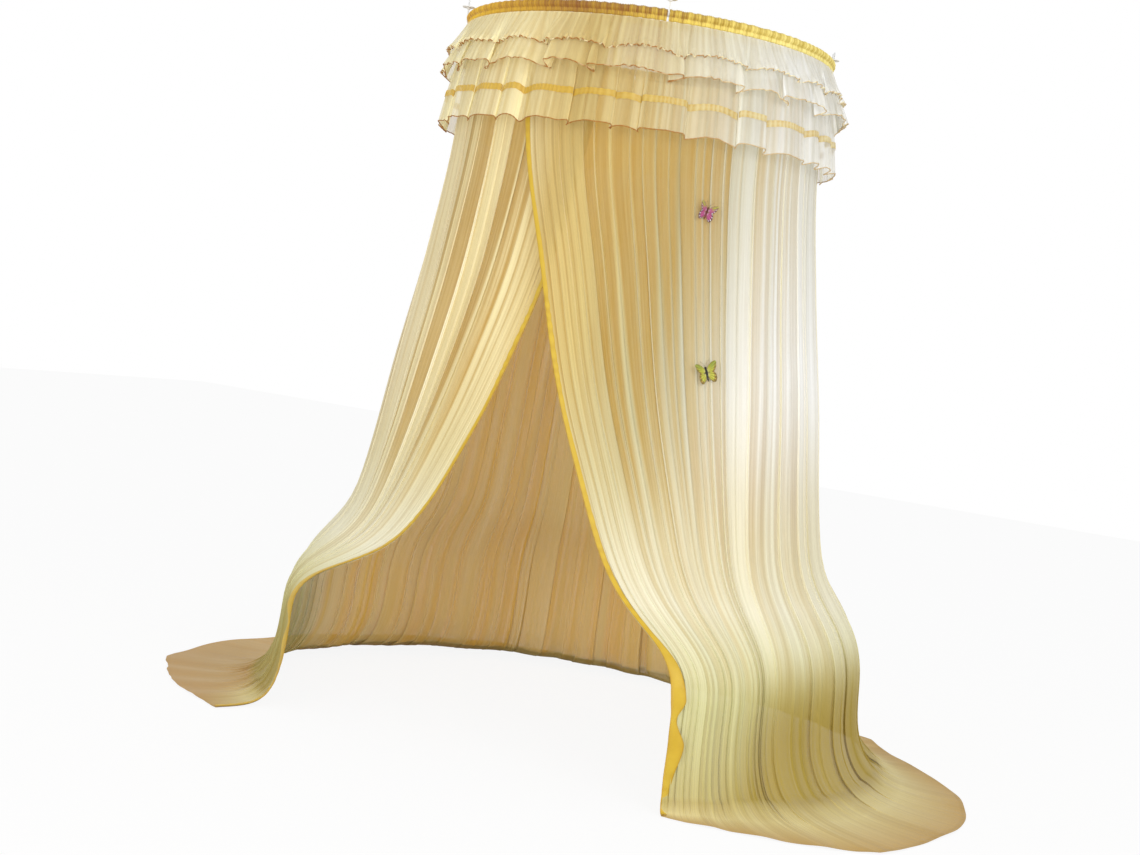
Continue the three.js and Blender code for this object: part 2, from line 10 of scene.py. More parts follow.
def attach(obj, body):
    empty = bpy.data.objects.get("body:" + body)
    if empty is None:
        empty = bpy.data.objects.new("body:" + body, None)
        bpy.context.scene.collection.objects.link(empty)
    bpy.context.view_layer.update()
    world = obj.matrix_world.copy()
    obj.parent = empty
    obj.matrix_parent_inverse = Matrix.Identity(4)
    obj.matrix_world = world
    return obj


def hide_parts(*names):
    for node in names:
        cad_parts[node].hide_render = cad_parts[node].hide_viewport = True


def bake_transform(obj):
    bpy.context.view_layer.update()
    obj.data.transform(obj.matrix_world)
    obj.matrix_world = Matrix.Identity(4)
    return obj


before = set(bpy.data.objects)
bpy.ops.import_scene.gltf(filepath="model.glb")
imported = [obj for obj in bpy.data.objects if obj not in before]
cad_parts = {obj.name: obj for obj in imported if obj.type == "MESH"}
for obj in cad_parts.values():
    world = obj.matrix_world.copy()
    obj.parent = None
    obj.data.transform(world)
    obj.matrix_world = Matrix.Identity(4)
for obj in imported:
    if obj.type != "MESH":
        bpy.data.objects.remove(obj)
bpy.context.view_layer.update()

rng = np.random.default_rng(11)
fullTurn = 360.0
lap = 2 * np.pi
print("frame loaded:", len(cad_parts), "nodes")

# What every cloth piece hangs from
crown = {
    "hoopRadius": 0.650,
    "bandTop": -0.032,
    "bandHeight": 0.040,
    "netTop": -0.0723,
    "floor": -2.532,
    "hookTurns": (-58.0, 32.0, 122.0, 212.0),
}


# Curves and grids

def eased(x, xs, ys):
    # Cubic through the points (xs, ys): each slope is the harmonic mean of the two straight slopes beside it
    xs, ys = np.asarray(xs, float), np.asarray(ys, float)
    step = np.diff(xs)
    rise = np.diff(ys) / step
    same = rise[:-1] * rise[1:] > 0
    inner = np.where(same, 2 * rise[:-1] * rise[1:] / np.where(same, rise[:-1] + rise[1:], 1), 0)
    slope = np.concatenate([[rise[0]], inner, [rise[-1]]])
    k = np.clip(np.searchsorted(xs, x, side="right") - 1, 0, len(step) - 1)
    t = (x - xs[k]) / step[k]
    return (
        ys[k] * (1 + 2 * t) * (1 - t) ** 2
        + ys[k + 1] * t * t * (3 - 2 * t)
        + step[k] * (slope[k] * t * (1 - t) ** 2 + slope[k + 1] * t * t * (t - 1))
    )


def smoothStep(low, high, x):
    # 0 up to low, 1 from high on, 3 t t - 2 t t t between
    t = np.clip((x - low) / (high - low), 0, 1)
    return t * t * (3 - 2 * t)


def window(low, rise, fall, high, x):
    # Smooth from 0 at low to 1 at rise, and from 1 at fall back to 0 at high
    return smoothStep(low, rise, x) * (1 - smoothStep(fall, high, x))


def waves(x, rows):
    # Sum of sines, each by how much, how fast and from where
    return sum(much * np.sin(rate * x + start) for much, rate, start in rows)


def polar(turn, radius, height):
    # Point at an angle in degrees, a radius and a height
    angle = np.radians(turn)
    x, y = radius * np.cos(angle), radius * np.sin(angle)
    return np.stack([x, y, height + 0 * x], -1)


def softened(values, passes):
    # Rows averaged with their neighbours, one quarter, one half, one quarter, with both ends held
    for _ in range(passes):
        values = np.concatenate([values[:1], (values[:-2] + 2 * values[1:-1] + values[2:]) / 4, values[-1:]])
    return values


def lengthAlong(points):
    # Length of a path up to each of its points
    return np.concatenate([[0], np.cumsum(np.linalg.norm(np.diff(points, axis=0), axis=1))])


def creased(points, turn, most):
    # Length of each step along a row over its length round the hoop's axis: 1 where flat, more in a fold
    step = np.gradient(points, axis=1)
    around = np.stack([-np.sin(turn), np.cos(turn), 0 * turn], -1)
    flat = np.abs((step * around).sum(-1))
    return np.clip(np.linalg.norm(step, axis=-1) / np.maximum(flat, 1e-5), 1, most)


def gridMesh(name, points, look, body, around=False, tube=False, across=None, along=None, values=None):
    # Quads over a grid of points: rows go down, columns go round, so that the faces look outwards. look is the
    # material and the CAD slot it stands for; the slot is not used. around joins the last column to the first, tube
    # the last row to the first. across and along are the metres of cloth at each column and row, for the map; values
    # are stored at the points.
    rows, columns = points.shape[:2]
    i, j = np.meshgrid(np.arange(rows - (not tube)), np.arange(columns - (not around)), indexing="ij")
    down, right = (i + 1) % rows, (j + 1) % columns
    faces = np.stack([i * columns + j, down * columns + j, down * columns + right, i * columns + right], -1)
    mesh = bpy.data.meshes.new(name)
    mesh.from_pydata(points.reshape(-1, 3).tolist(), [], faces.reshape(-1, 4).tolist())
    if across is not None:
        across, along = (np.append(at, 2 * at[-1] - at[-2]) for at in (across, along))
        u = across[np.stack([j, j, j + 1, j + 1], -1).reshape(-1)]
        v = along[np.stack([i, i + 1, i + 1, i], -1).reshape(-1)]
        layer = mesh.uv_layers.new(name="cloth")
        layer.data.foreach_set("uv", np.stack([u, v], -1).astype(np.float32).ravel())
    for key, value in (values or {}).items():
        attribute = mesh.attributes.new(key, "FLOAT", "POINT")
        full = np.broadcast_to(value, points.shape[:2])
        attribute.data.foreach_set("value", full.astype(np.float32).ravel())
    mesh.shade_smooth()
    mesh.update()
    piece = bpy.data.objects.new(name, mesh)
    bpy.context.collection.objects.link(piece)
    material, slot = look
    mesh.materials.append(material)
    if body:
        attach(piece, body)
    return piece


def tubeAlong(path, radius, sides, closed=False):
    # Round section carried along a path: at each point a ring stands square to the path, starting from world up
    ahead = np.roll(path, -1, 0) - np.roll(path, 1, 0)
    if not closed:
        ahead[0], ahead[-1] = path[1] - path[0], path[-1] - path[-2]
    ahead /= np.linalg.norm(ahead, axis=1)[:, None]
    side = np.cross(ahead, [0, 0, 1.0])
    side /= np.maximum(np.linalg.norm(side, axis=1), 1e-6)[:, None]
    up = np.cross(side, ahead)
    turn = np.linspace(0, lap, sides, endpoint=False)
    radius = np.broadcast_to(radius, len(path))
    ring = np.cos(turn)[:, None, None] * side + np.sin(turn)[:, None, None] * up
    return path[None] + ring * radius[None, :, None]


# Shader sockets with arithmetic

class Sock:
    def __init__(self, tree, socket):
        self.tree, self.socket = tree, socket

    def maths(self, operation, *values):
        return node(self.tree, "ShaderNodeMath", {"operation": operation}, values)

    def __add__(self, other):
        return self.maths("ADD", self, other)

    def __sub__(self, other):
        return self.maths("SUBTRACT", self, other)

    def __rsub__(self, other):
        return self.maths("SUBTRACT", other, self)

    def __mul__(self, other):
        return self.maths("MULTIPLY", self, other)

    __radd__ = __add__
    __rmul__ = __mul__


def node(tree, kind, settings=None, inputs=None, output=0):
    # A node of one kind, its settings first, then its sockets by name or by place
    made = tree.nodes.new(kind)
    for key, value in (settings or {}).items():
        if key == "stops":
            ramp = made.color_ramp
            for element, (place, color) in zip(ramp.elements, (value[0], value[-1])):
                element.position, element.color = place, (*color, 1)
            for place, color in value[1:-1]:
                ramp.elements.new(place).color = (*color, 1)
        else:
            setattr(made, key, value)
    fill(tree, made, inputs.items() if isinstance(inputs, dict) else enumerate(inputs or []))
    return Sock(tree, made.outputs[output])


def fill(tree, made, pairs):
    # Links a socket's value, or sets it; a colour gets its alpha
    for key, value in pairs:
        if isinstance(value, Sock):
            tree.links.new(value.socket, made.inputs[key])
        elif isinstance(value, tuple) and made.inputs[key].type == "RGBA":
            made.inputs[key].default_value = (*value, 1)
        else:
            made.inputs[key].default_value = value


def newMaterial(name, build):
    # Material whose build function gets the tree and gives the Principled sockets by name
    material = bpy.data.materials.new(name)
    material.use_nodes = True
    tree = material.node_tree
    fill(tree, tree.nodes["Principled BSDF"], build(tree).items())
    return material


def mixed(tree, factor, a, b):
    # Colour mix, from a at 0 to b at 1
    return node(tree, "ShaderNodeMix", {"data_type": "RGBA"}, {0: factor, 6: a, 7: b}, 2)


def bumped(tree, height, strength, distance):
    # Normal tilted by the slope of a height
    return node(tree, "ShaderNodeBump", None, {"Strength": strength, "Distance": distance, "Height": height})


def stored(tree, name):
    # A value stored at the points of a piece
    return node(tree, "ShaderNodeAttribute", {"attribute_name": name}, output=2)


def clothMap(tree):
    # Metres along and down the cloth
    return node(tree, "ShaderNodeUVMap", {"uv_map": "cloth"})


def objectPlace(tree):
    return node(tree, "ShaderNodeTexCoord", output=3)


def objectX(tree):
    # Metres to +X
    return node(tree, "ShaderNodeSeparateXYZ", None, [objectPlace(tree)])


def noise(tree, where, scale, detail=2.0, roughness=0.5):
    # Cloudy noise about 0.5
    inputs = {"Vector": where, "Scale": scale, "Detail": detail, "Roughness": roughness}
    return node(tree, "ShaderNodeTexNoise", None, inputs)


def bands(tree, where, direction, scale, distortion):
    # Even bands from 0 to 1 across one direction, with wavy edges
    inputs = {"Vector": where, "Scale": scale, "Distortion": distortion}
    return node(tree, "ShaderNodeTexWave", {"bands_direction": direction}, inputs, 1)


def ramp(tree, value, stops):
    # Colours at values from the first stop to the last
    low, high = stops[0][0], stops[-1][0]
    shares = [((at - low) / (high - low), color) for at, color in stops]
    return node(tree, "ShaderNodeValToRGB", {"stops": shares}, [(value - low) * (1 / (high - low))])


def stepBetween(tree, value, low, high):
    # Smooth step from 0 at low to 1 at high
    inputs = {"Value": value, "From Min": low, "From Max": high}
    return node(tree, "ShaderNodeMapRange", {"interpolation_type": "SMOOTHSTEP"}, inputs)


# Materials

finishes = {
    # The net from its heading downwards, by metres to +X, which is the side of the light: painted light and shade,
    # near white towards +X where the light falls, darker in the middle
    "sidePale": (
        (-0.75, (0.85, 0.77, 0.58)), (-0.50, (0.82, 0.71, 0.43)), (-0.30, (0.79, 0.66, 0.34)),
        (-0.08, (0.90, 0.78, 0.43)), (0.05, (0.68, 0.50, 0.18)), (0.22, (0.67, 0.53, 0.21)),
        (0.44, (0.52, 0.48, 0.28)), (0.56, (0.61, 0.59, 0.46)), (0.75, (0.98, 0.98, 0.96)),
    ),
    "sideDeep": (
        (-0.75, (0.66, 0.48, 0.20)), (-0.10, (0.58, 0.36, 0.09)), (0.30, (0.46, 0.28, 0.05)),
        (0.46, (0.49, 0.35, 0.11)), (0.58, (0.62, 0.55, 0.33)), (0.75, (0.90, 0.89, 0.82)),
    ),
    # Further down, by rows: 1 at the floor, 2 at the hem. Painted shade: darker and more golden low down and on the
    # floor
    "rowPale": (
        (0.60, (0.74, 0.66, 0.38)), (0.75, (0.86, 0.82, 0.63)), (0.86, (0.68, 0.66, 0.34)),
        (0.98, (0.58, 0.51, 0.21)), (1.08, (0.53, 0.43, 0.15)), (1.40, (0.69, 0.58, 0.26)),
        (2.00, (0.49, 0.29, 0.06)),
    ),
    "rowDeep": (
        (0.60, (0.52, 0.34, 0.08)), (0.75, (0.60, 0.46, 0.18)), (0.88, (0.37, 0.285, 0.065)),
        (1.05, (0.33, 0.23, 0.05)), (1.40, (0.40, 0.27, 0.06)), (2.00, (0.40, 0.23, 0.04)),
    ),
    # The ruffles by metres to +X, painted light and shade: golden to -X, darker in the middle, near white towards +X
    # where the light falls
    "rufflePale": (
        (-0.62, (1.00, 0.95, 0.64)), (-0.12, (1.00, 0.90, 0.54)), (0.15, (0.80, 0.64, 0.27)),
        (0.36, (0.84, 0.74, 0.44)), (0.50, (0.90, 0.87, 0.68)), (0.66, (0.98, 0.98, 0.96)),
    ),
    "ruffleDeep": (
        (-0.62, (1.00, 0.86, 0.50)), (-0.12, (0.92, 0.73, 0.34)), (0.15, (0.62, 0.42, 0.13)),
        (0.36, (0.62, 0.45, 0.17)), (0.66, (0.84, 0.81, 0.68)),
    ),
    # The ribbon by metres to +X, painted light: paler towards +X, where the light falls
    "ribbonPale": (
        (-0.62, (0.84, 0.54, 0.04)), (0.10, (0.74, 0.47, 0.04)), (0.34, (0.76, 0.57, 0.15)),
        (0.48, (0.80, 0.69, 0.34)), (0.66, (0.88, 0.78, 0.42)),
    ),
    # The band by metres to +X, painted light and shade: darkest in the middle, bright towards +X, where the light
    # falls
    "bandPale": (
        (-0.66, (0.74, 0.34, 0.02)), (-0.45, (0.88, 0.55, 0.02)), (-0.15, (0.62, 0.35, 0.014)),
        (0.05, (0.40, 0.20, 0.009)), (0.22, (0.52, 0.31, 0.016)), (0.40, (0.84, 0.63, 0.10)),
        (0.66, (0.97, 0.84, 0.30)),
    ),
    "bandDeep": (
        (-0.66, (0.40, 0.14, 0.005)), (-0.30, (0.50, 0.24, 0.01)), (0.0, (0.25, 0.085, 0.004)),
        (0.30, (0.25, 0.085, 0.004)), (0.50, (0.44, 0.28, 0.02)), (0.66, (0.56, 0.40, 0.04)),
    ),
    "goldPale": (0.77, 0.52, 0.03),
    "goldDeep": (0.58, 0.33, 0.008),
    "picot": (0.30, 0.12, 0.018),
    "edgePale": (0.93, 0.82, 0.50),
    "meshPitch": 0.0021,  # between the holes of the tulle
}
netTones = {
    "tint": (0.9, 0.3, 0.9, 0.5),  # share of the folds, the clouds, the streaks and the broad streaks in the tone
    "alpha": (0.78, 0.44),  # of the light held back: the least, and what the streaks add
    "streakLength": 0.012,  # how much slower streaks change down the cloth than across it
    "broadness": 0.27,
    "low": (0.41, 0.75),  # rows over which the colours by side change to the colours by row
    "foldHighlight": (0.97, 0.92, 0.70),  # painted highlight along the folds
    "underRuffleShade": (0.50, 0.33, 0.10),  # painted shade between the folds close under the ruffles
    "top": ((0.15, 0.5), (0.5, 0.66), 0.7),  # rows and sides over which that painted shade ends, and its share
    "leftTrain": (0.49, 0.28, 0.09),
    "left": ((0.8, 1.0), (1.02, 1.2), 0.8),  # metres to -X and rows over which the left train's colour starts
    "lowSideShade": (0.40, 0.29, 0.05),  # painted shade low down on the side that faces +X
    "away": ((0.90, 1.02), (0.78, 0.92), (1.0, 1.1), 0.95),
    "farPale": (1.0, 0.79, 0.36),  # the far side: painted shade, deep golden inside and out, as its inside looks in shade
    "farDeep": (1.0, 0.60, 0.07),
    "far": 0.85,
}


def tulle(tree, share):
    # Round holes on a fine grid of the cloth's own map: 1 on the thread, less in the hole
    inputs = {"Vector": clothMap(tree), "Scale": 1 / finishes["meshPitch"], "Randomness": 0.25}
    cells = node(tree, "ShaderNodeTexVoronoi", {"feature": "F1"}, inputs)
    inputs = {"Value": cells, "From Min": 0.25, "From Max": 0.6, "To Min": 1 - share, "To Max": 1 + share}
    return node(tree, "ShaderNodeMapRange", None, inputs)


def sheer(pick, streakScale):
    # Net: the light that it holds back is stored on the cloth, where folds stack it up. Fine streaks run with the
    # gathers, and the tulle's holes break it up. pick gives the pale and the deep colour.
    def build(tree):
        stretch = {0: clothMap(tree), 1: (streakScale, streakScale * netTones["streakLength"], 1.0)}
        long = node(tree, "ShaderNodeVectorMath", {"operation": "MULTIPLY"}, stretch)
        streak = noise(tree, long, 1.0, 3.0, 0.6)
        cloud = noise(tree, objectPlace(tree), 2.5, 3.0)
        broad = noise(tree, long, netTones["broadness"], 1.0)
        weave = tulle(tree, 0.12)
        fold, cloudy, fine, wide = netTones["tint"]
        tint = stored(tree, "valley") * fold + (cloud - 0.5) * cloudy + (0.5 - streak) * fine + (0.5 - broad) * wide
        least, more = netTones["alpha"]
        return {
            "Base Color": mixed(tree, tint, *pick(tree)),
            "Alpha": stored(tree, "cover") * weave * (least + streak * more),
            "Roughness": 0.75 + (1 - weave) * 0.15,
            "Normal": bumped(tree, streak + weave * 0.2, 0.2, 0.002),
            "Sheen Weight": 0.25,
            "Sheen Roughness": 0.4,
            "Sheen Tint": (1.0, 0.92, 0.66),
            "Specular IOR Level": 0.2,
        }
    return build


def netPick(tree):
    # By side where the net hangs, by row further down, with five tones laid over them. Painted light and shade: the
    # colours by side and by row, the highlights along the folds, the shade under the ruffles, the shade low on the
    # side that faces +X and the far side's tones
    tones = netTones
    down, behind, x = stored(tree, "down"), stored(tree, "behind"), objectX(tree)
    low = stepBetween(tree, down, *tones["low"])
    pale = mixed(tree, low, ramp(tree, x, finishes["sidePale"]), ramp(tree, down, finishes["rowPale"]))
    # Painted highlight along the folds
    pale = mixed(tree, stored(tree, "line"), pale, tones["foldHighlight"])
    # Painted shade close under the ruffles, kept away from +X
    rows, sides, share = tones["top"]
    top = (1 - stepBetween(tree, down, *rows)) * (1 - stepBetween(tree, x, *sides)) * share
    deep = mixed(tree, top, ramp(tree, x, finishes["sideDeep"]), tones["underRuffleShade"])
    deep = mixed(tree, low, deep, ramp(tree, down, finishes["rowDeep"]))
    sides, rows, share = tones["left"]
    left = stepBetween(tree, 0 - x, *sides) * stepBetween(tree, down, *rows) * share
    # Painted shade low down on the side that faces +X
    sides, rows, until, share = tones["away"]
    away = stepBetween(tree, x, *sides) * stepBetween(tree, down, *rows)
    away = away * (1 - stepBetween(tree, down, *until)) * share
    for factor, tone in ((left, "leftTrain"), (away, "lowSideShade")):
        pale, deep = (mixed(tree, factor, color, tones[tone]) for color in (pale, deep))
    # Painted shade: the far side takes deep golden tones
    far = behind * tones["far"]
    return mixed(tree, far, pale, tones["farPale"]), mixed(tree, far, deep, tones["farDeep"])


def sidePick(*names):
    # The pale and the deep colour by side, each a ramp of stops that carries painted light and shade, or the same all
    # round
    def pick(tree):
        tones = [finishes[name] for name in names]
        return [ramp(tree, objectX(tree), tone) if isinstance(tone[0], tuple) else tone for tone in tones]
    return pick


def satin(pick, shine, thick):
    # Satin: darker in its gathers by painted shade, slightly clouded, with a very fine rib and a soft gloss
    def build(tree):
        ribs = noise(tree, clothMap(tree), 260.0)
        cloud = noise(tree, objectPlace(tree), 22.0, 4.0)
        # The stored valley is painted shade in the gathers, puckers and rims
        tint = stored(tree, "valley") * 0.9 + (cloud - 0.5) * 0.9 + (ribs - 0.5) * 0.2
        return {
            "Base Color": mixed(tree, tint, *pick(tree)),
            "Roughness": shine + (1 - ribs) * 0.2,
            "Alpha": thick + ribs * 0.1,
            "Normal": bumped(tree, ribs, 0.25, 0.0008),
            "Sheen Weight": 0.3,
            "Sheen Tint": (1.0, 0.8, 0.3),
            "Specular IOR Level": 0.5,
        }
    return build


def picotThread(tree):
    # Overlocked thread: wound turns along the edge, the cloth's own colour where the stitches leave gaps, and painted
    # light paler towards +X
    turns = bands(tree, clothMap(tree), "X", 200.0, 2.0)
    deep = finishes["picot"]
    thread = mixed(tree, turns, deep, tuple(1.7 * c for c in deep))
    # Painted light: paler towards +X, where the light falls
    lit = stepBetween(tree, objectX(tree), 0.38, 0.66) * 0.5
    return {
        "Base Color": mixed(tree, stored(tree, "pale") + lit, thread, finishes["edgePale"]),
        "Roughness": 0.6 + turns * 0.2,
        "Normal": bumped(tree, turns, 0.5, 0.0005),
    }


def wovenTape(tree):
    # Rows of thread, clouded
    place = objectPlace(tree)
    rows, cloud = bands(tree, place, "Z", 180.0, 1.0), noise(tree, place, 60.0)
    return {
        "Base Color": mixed(tree, rows * 0.4 + cloud * 0.3, (0.86, 0.78, 0.5), (0.62, 0.5, 0.24)),
        "Roughness": 0.75 + cloud * 0.15,
        "Normal": bumped(tree, rows, 0.4, 0.0006),
    }


def drawnSteel(tree):
    # Fine streaks with broad stains
    place = objectPlace(tree)
    streaks = noise(tree, place, 140.0, 5.0)
    return {
        "Base Color": mixed(tree, noise(tree, place, 9.0, 3.0), (0.62, 0.63, 0.64), (0.48, 0.48, 0.49)),
        "Metallic": 1.0,
        "Roughness": 0.24 + streaks * 0.2,
        "Normal": bumped(tree, streaks, 0.15, 0.0003),
    }


def zincPlate(tree):
    # A fine spangle of cells
    spangle = node(tree, "ShaderNodeTexVoronoi", None, {"Vector": objectPlace(tree), "Scale": 900.0})
    return {
        "Base Color": mixed(tree, spangle, (0.60, 0.60, 0.60), (0.44, 0.44, 0.42)),
        "Metallic": 1.0,
        "Roughness": 0.32 + spangle * 0.2,
        "Normal": bumped(tree, spangle, 0.2, 0.0002),
    }


def whitePaint(tree):
    # Slightly worn, with a fine peel
    place = objectPlace(tree)
    wear = noise(tree, place, 35.0, 4.0)
    return {
        "Base Color": mixed(tree, wear, (0.86, 0.85, 0.81), (0.76, 0.74, 0.68)),
        "Roughness": 0.32 + wear * 0.2,
        "Normal": bumped(tree, noise(tree, place, 420.0), 0.12, 0.0003),
        "Coat Weight": 0.2,
    }


netCloth = newMaterial("sheer_net", sheer(netPick, 120.0))
ruffleCloth = newMaterial("ruffle_net", sheer(sidePick("rufflePale", "ruffleDeep"), 90.0))
goldSatin = newMaterial("gold_satin", satin(sidePick("goldPale", "goldDeep"), 0.34, 0.78))
ribbonSatin = newMaterial("ribbon_satin", satin(sidePick("ribbonPale", "goldDeep"), 0.34, 0.66))
bandSatin = newMaterial("gathered_gold", satin(sidePick("bandPale", "bandDeep"), 0.42, 0.95))
picotEdge = newMaterial("picot_thread", picotThread)
tapeCloth = newMaterial("heading_tape", wovenTape)
hardFinishes = {
    newMaterial("drawn_steel", drawnSteel): ("hoop_tube", "joint_spigot"),
    newMaterial("zinc_plate", zincPlate): ("plate_screw", "joint_screw", "front_magnet", "rear_magnet"),
    newMaterial("white_paint", whitePaint): ("ceiling_plate", "ceiling_hook"),
}
for nodeName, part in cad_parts.items():
    for material, kinds in hardFinishes.items():
        if any(kind in nodeName for kind in kinds):
            part.data.materials.clear()
            part.data.materials.append(material)
print("materials made")


# Net: one hanging profile and the two front edges

drape = {
    "headingRadius": 0.6424,
    "skirtRadius": 1.085,
    "rows": (0, 0.15, 0.33, 0.49, 0.62, 0.72, 0.775, 0.805, 0.86, 0.94, 1),  # shares of the drop
    "spread": (0, 0.025, 0.15, 0.3, 0.4, 0.52, 0.78, 0.87, 0.92, 0.94, 1),  # shares of the way to the skirt
    "rightShares": (0, 0.035, 0.185, 0.33, 0.5, 0.65, 0.8, 0.97, 1, 1, 1),
    "leftShares": (0, 0.035, 0.125, 0.26, 0.4, 0.54, 0.7, 0.97, 1, 1, 1),
    "overlapShares": (1, 1, 1, 0.75, 0.3, 0, 0, 0, 0, 0, 0),
    "overlapTop": 0.008,
    "overlapDeep": 0.026,
    "overlapRows": 0.33,
    "overlapFrom": (0.5, 0.72),  # shares of the left width over which it starts
    "offFloor": 0.002,
    "lowest": 0.0012,  # above the floor
    "fineHang": 350,  # steps of the lines before they are softened
    "fineTrain": 62,
    "softPasses": 160,
    "floorPasses": 900,  # where the net turns out onto the floor
    "floorSoft": (0.84, 0.97),
    "hangRows": 66,
    "trainRows": 22,
    "hemRows": (1.958, 1.972, 2.0),
    "closeRows": ((0.79, 0.05, 2.2), (1.0, 0.07, 2.6)),  # where rows crowd: share, spread, how much
    "seamTurns": (-20.0, 50.0, 90.0, 130.0, 200.0),
    "sideHem": 1.520,
    "backHem": 1.180,
}
rightEdge = {"headX": -0.115, "corner": (0.790, -0.735), "hem": (0.812, -0.765), "hemRadius": 1.110}
leftEdge = {"headX": 0.185, "corner": (-0.715, -0.735), "hem": (-0.800, -0.960), "hemRadius": 1.250}

fineShare = np.linspace(0, 1, drape["fineHang"])
fineTrain = np.linspace(0, 1, drape["fineTrain"])[1:]
fineDown = np.concatenate([fineShare, 1 + fineTrain])  # 0 at the heading, 1 at the floor, 2 at the hem
fineHeight = crown["netTop"] + (crown["floor"] + drape["offFloor"] - crown["netTop"]) * fineShare
fineSpread = eased(fineShare, drape["rows"], drape["spread"])
fineRadius = drape["headingRadius"] + (drape["skirtRadius"] - drape["headingRadius"]) * fineSpread

crowd = 1 + sum(much * np.exp(-(((fineShare - at) / spread) ** 2)) for at, spread, much in drape["closeRows"])
crowdSum = np.concatenate([[0], np.cumsum(crowd[1:] + crowd[:-1])])
hangRows = np.interp(np.linspace(0, crowdSum[-1], drape["hangRows"]), crowdSum, fineShare)
rowDown = np.concatenate([hangRows, 1 + np.linspace(0, 1, drape["trainRows"])[1:-1], drape["hemRows"]])


def onFloor(values, last):
    # A hanging line carried on along the floor to its last value
    return np.concatenate([values, values[-1] + (last - values[-1]) * fineTrain])


def atRows(values):
    # A softened line read at the rows of the net, softest where it turns out onto the floor
    close = softened(values, drape["softPasses"])
    wide = softened(values, drape["floorPasses"])
    return np.interp(rowDown, fineDown, close + (wide - close) * smoothStep(*drape["floorSoft"], fineDown))


netHeight = atRows(onFloor(fineHeight, fineHeight[-1]))


def seamLine(turn, hem):
    # Straight down the profile at one angle, then out along the floor to the hem
    radius = atRows(onFloor(fineRadius, hem))
    return np.full_like(radius, turn), radius


def edgeLine(edge, shares, base):
    # From the hoop out to the sweep's corner by shares of the way, then down and along the floor
    headY = -math.sqrt(drape["headingRadius"] ** 2 - edge["headX"] ** 2)
    share = eased(fineShare, drape["rows"], shares)
    x = edge["headX"] + (edge["corner"][0] - edge["headX"]) * share
    y = headY + (edge["corner"][1] - headY) * share
    out = edge["hemRadius"] / math.hypot(*edge["hem"])
    x, y = (atRows(onFloor(v, h * out)) for v, h in zip((x, y), edge["hem"]))
    return base + np.degrees(np.arctan2(y, x)), np.hypot(x, y)


seams = ("right", "backRight", "back", "backLeft", "left")
hems = (drape["sideHem"], drape["sideHem"], drape["backHem"], drape["sideHem"], drape["sideHem"])
lines = {seam: seamLine(turn, hem) for seam, turn, hem in zip(seams, drape["seamTurns"], hems)}
lines["rightEdge"] = edgeLine(rightEdge, drape["rightShares"], 0)
lines["leftEdge"] = edgeLine(leftEdge, drape["leftShares"], fullTurn)

pleats = {
    "span": (22.0, 204.0),  # degrees of heading at the sides and back, where the folds are not set one by one
    "room": (2.2, 5.2),  # degrees from one fold to the next
    "narrow": (0.22, 0.36),  # reach of a narrow fold, in degrees
    "broad": (0.7, 1.3),
    "broadShare": 0.3,
    "turnBack": (1.4, 2.4),  # above 1 the cloth doubles back on itself
    "widest": 1 / 2.2,  # reach as a share of the room beside it
    "pace": (0.25, 0.8),  # how often a fold grows stronger and weaker on the way down
    "strength": (0.8, 0.3),
    "grow": (0.55, 0.3),  # strength at the heading, and the row from which it is whole
    "relax": (0.96, 0.98, 1.7),  # how much of it ends on the floor, and over which rows
    "layer": 1.1,
    "lifted": 0.6,  # share of its depth by which a fold lifts the net off the floor
    "calm": (0.4, 0.6),  # depth of folds at a calm front edge, and what is added away from it
    "far": 5,  # reaches beyond which a fold is nothing
    "thickness": 1.25,  # reaches within which a fold lies in layers
    "freeEnds": (0, 0.1, 0.9, 1),  # shares of a width between which it may lean and wander
    "slideEnds": (0, 0.012, 0.988, 1),  # and between which the folds slide it
    "fromSeam": 0.03,  # degrees from a seam within which a fold gets no column
    "depthRows": (0, 0.1, 0.33, 1.0, 1.2, 2.0),
    "depth": (0.002, 0.004, 0.006, 0.008, 0.005, 0.002),
    "samples": 15,  # columns across a fold
    "window": 2.7,  # reaches to each side that they cover
    "crowding": 1.35,
    "plainFrom": 2.9,
    "plainStep": 0.62,  # degrees between columns away from the folds
    "closest": 0.02,
    "drift": 0.9,  # how far folds lean together, in degrees
    "lean": (0.083, 1.1, 2.2),
    "swell": 0.0085,  # broad waves, four to a width
    "swellTop": 0.25,
    "swellRow": 0.4,  # row from which they are whole
    "floorSwell": 0.3,  # how much of them is left on the floor
    "hemWander": 0.004,  # unevenness of the hem, as a share of its radius
    "wander": ((1.0, 0.11, 0.0), (0.55, 0.31, 1.0), (0.2, 0.7, 2.0)),
    "hemIn": (43.0, 25.0, 0.135),  # where the side hem is drawn in: heading, spread, share of its radius
}

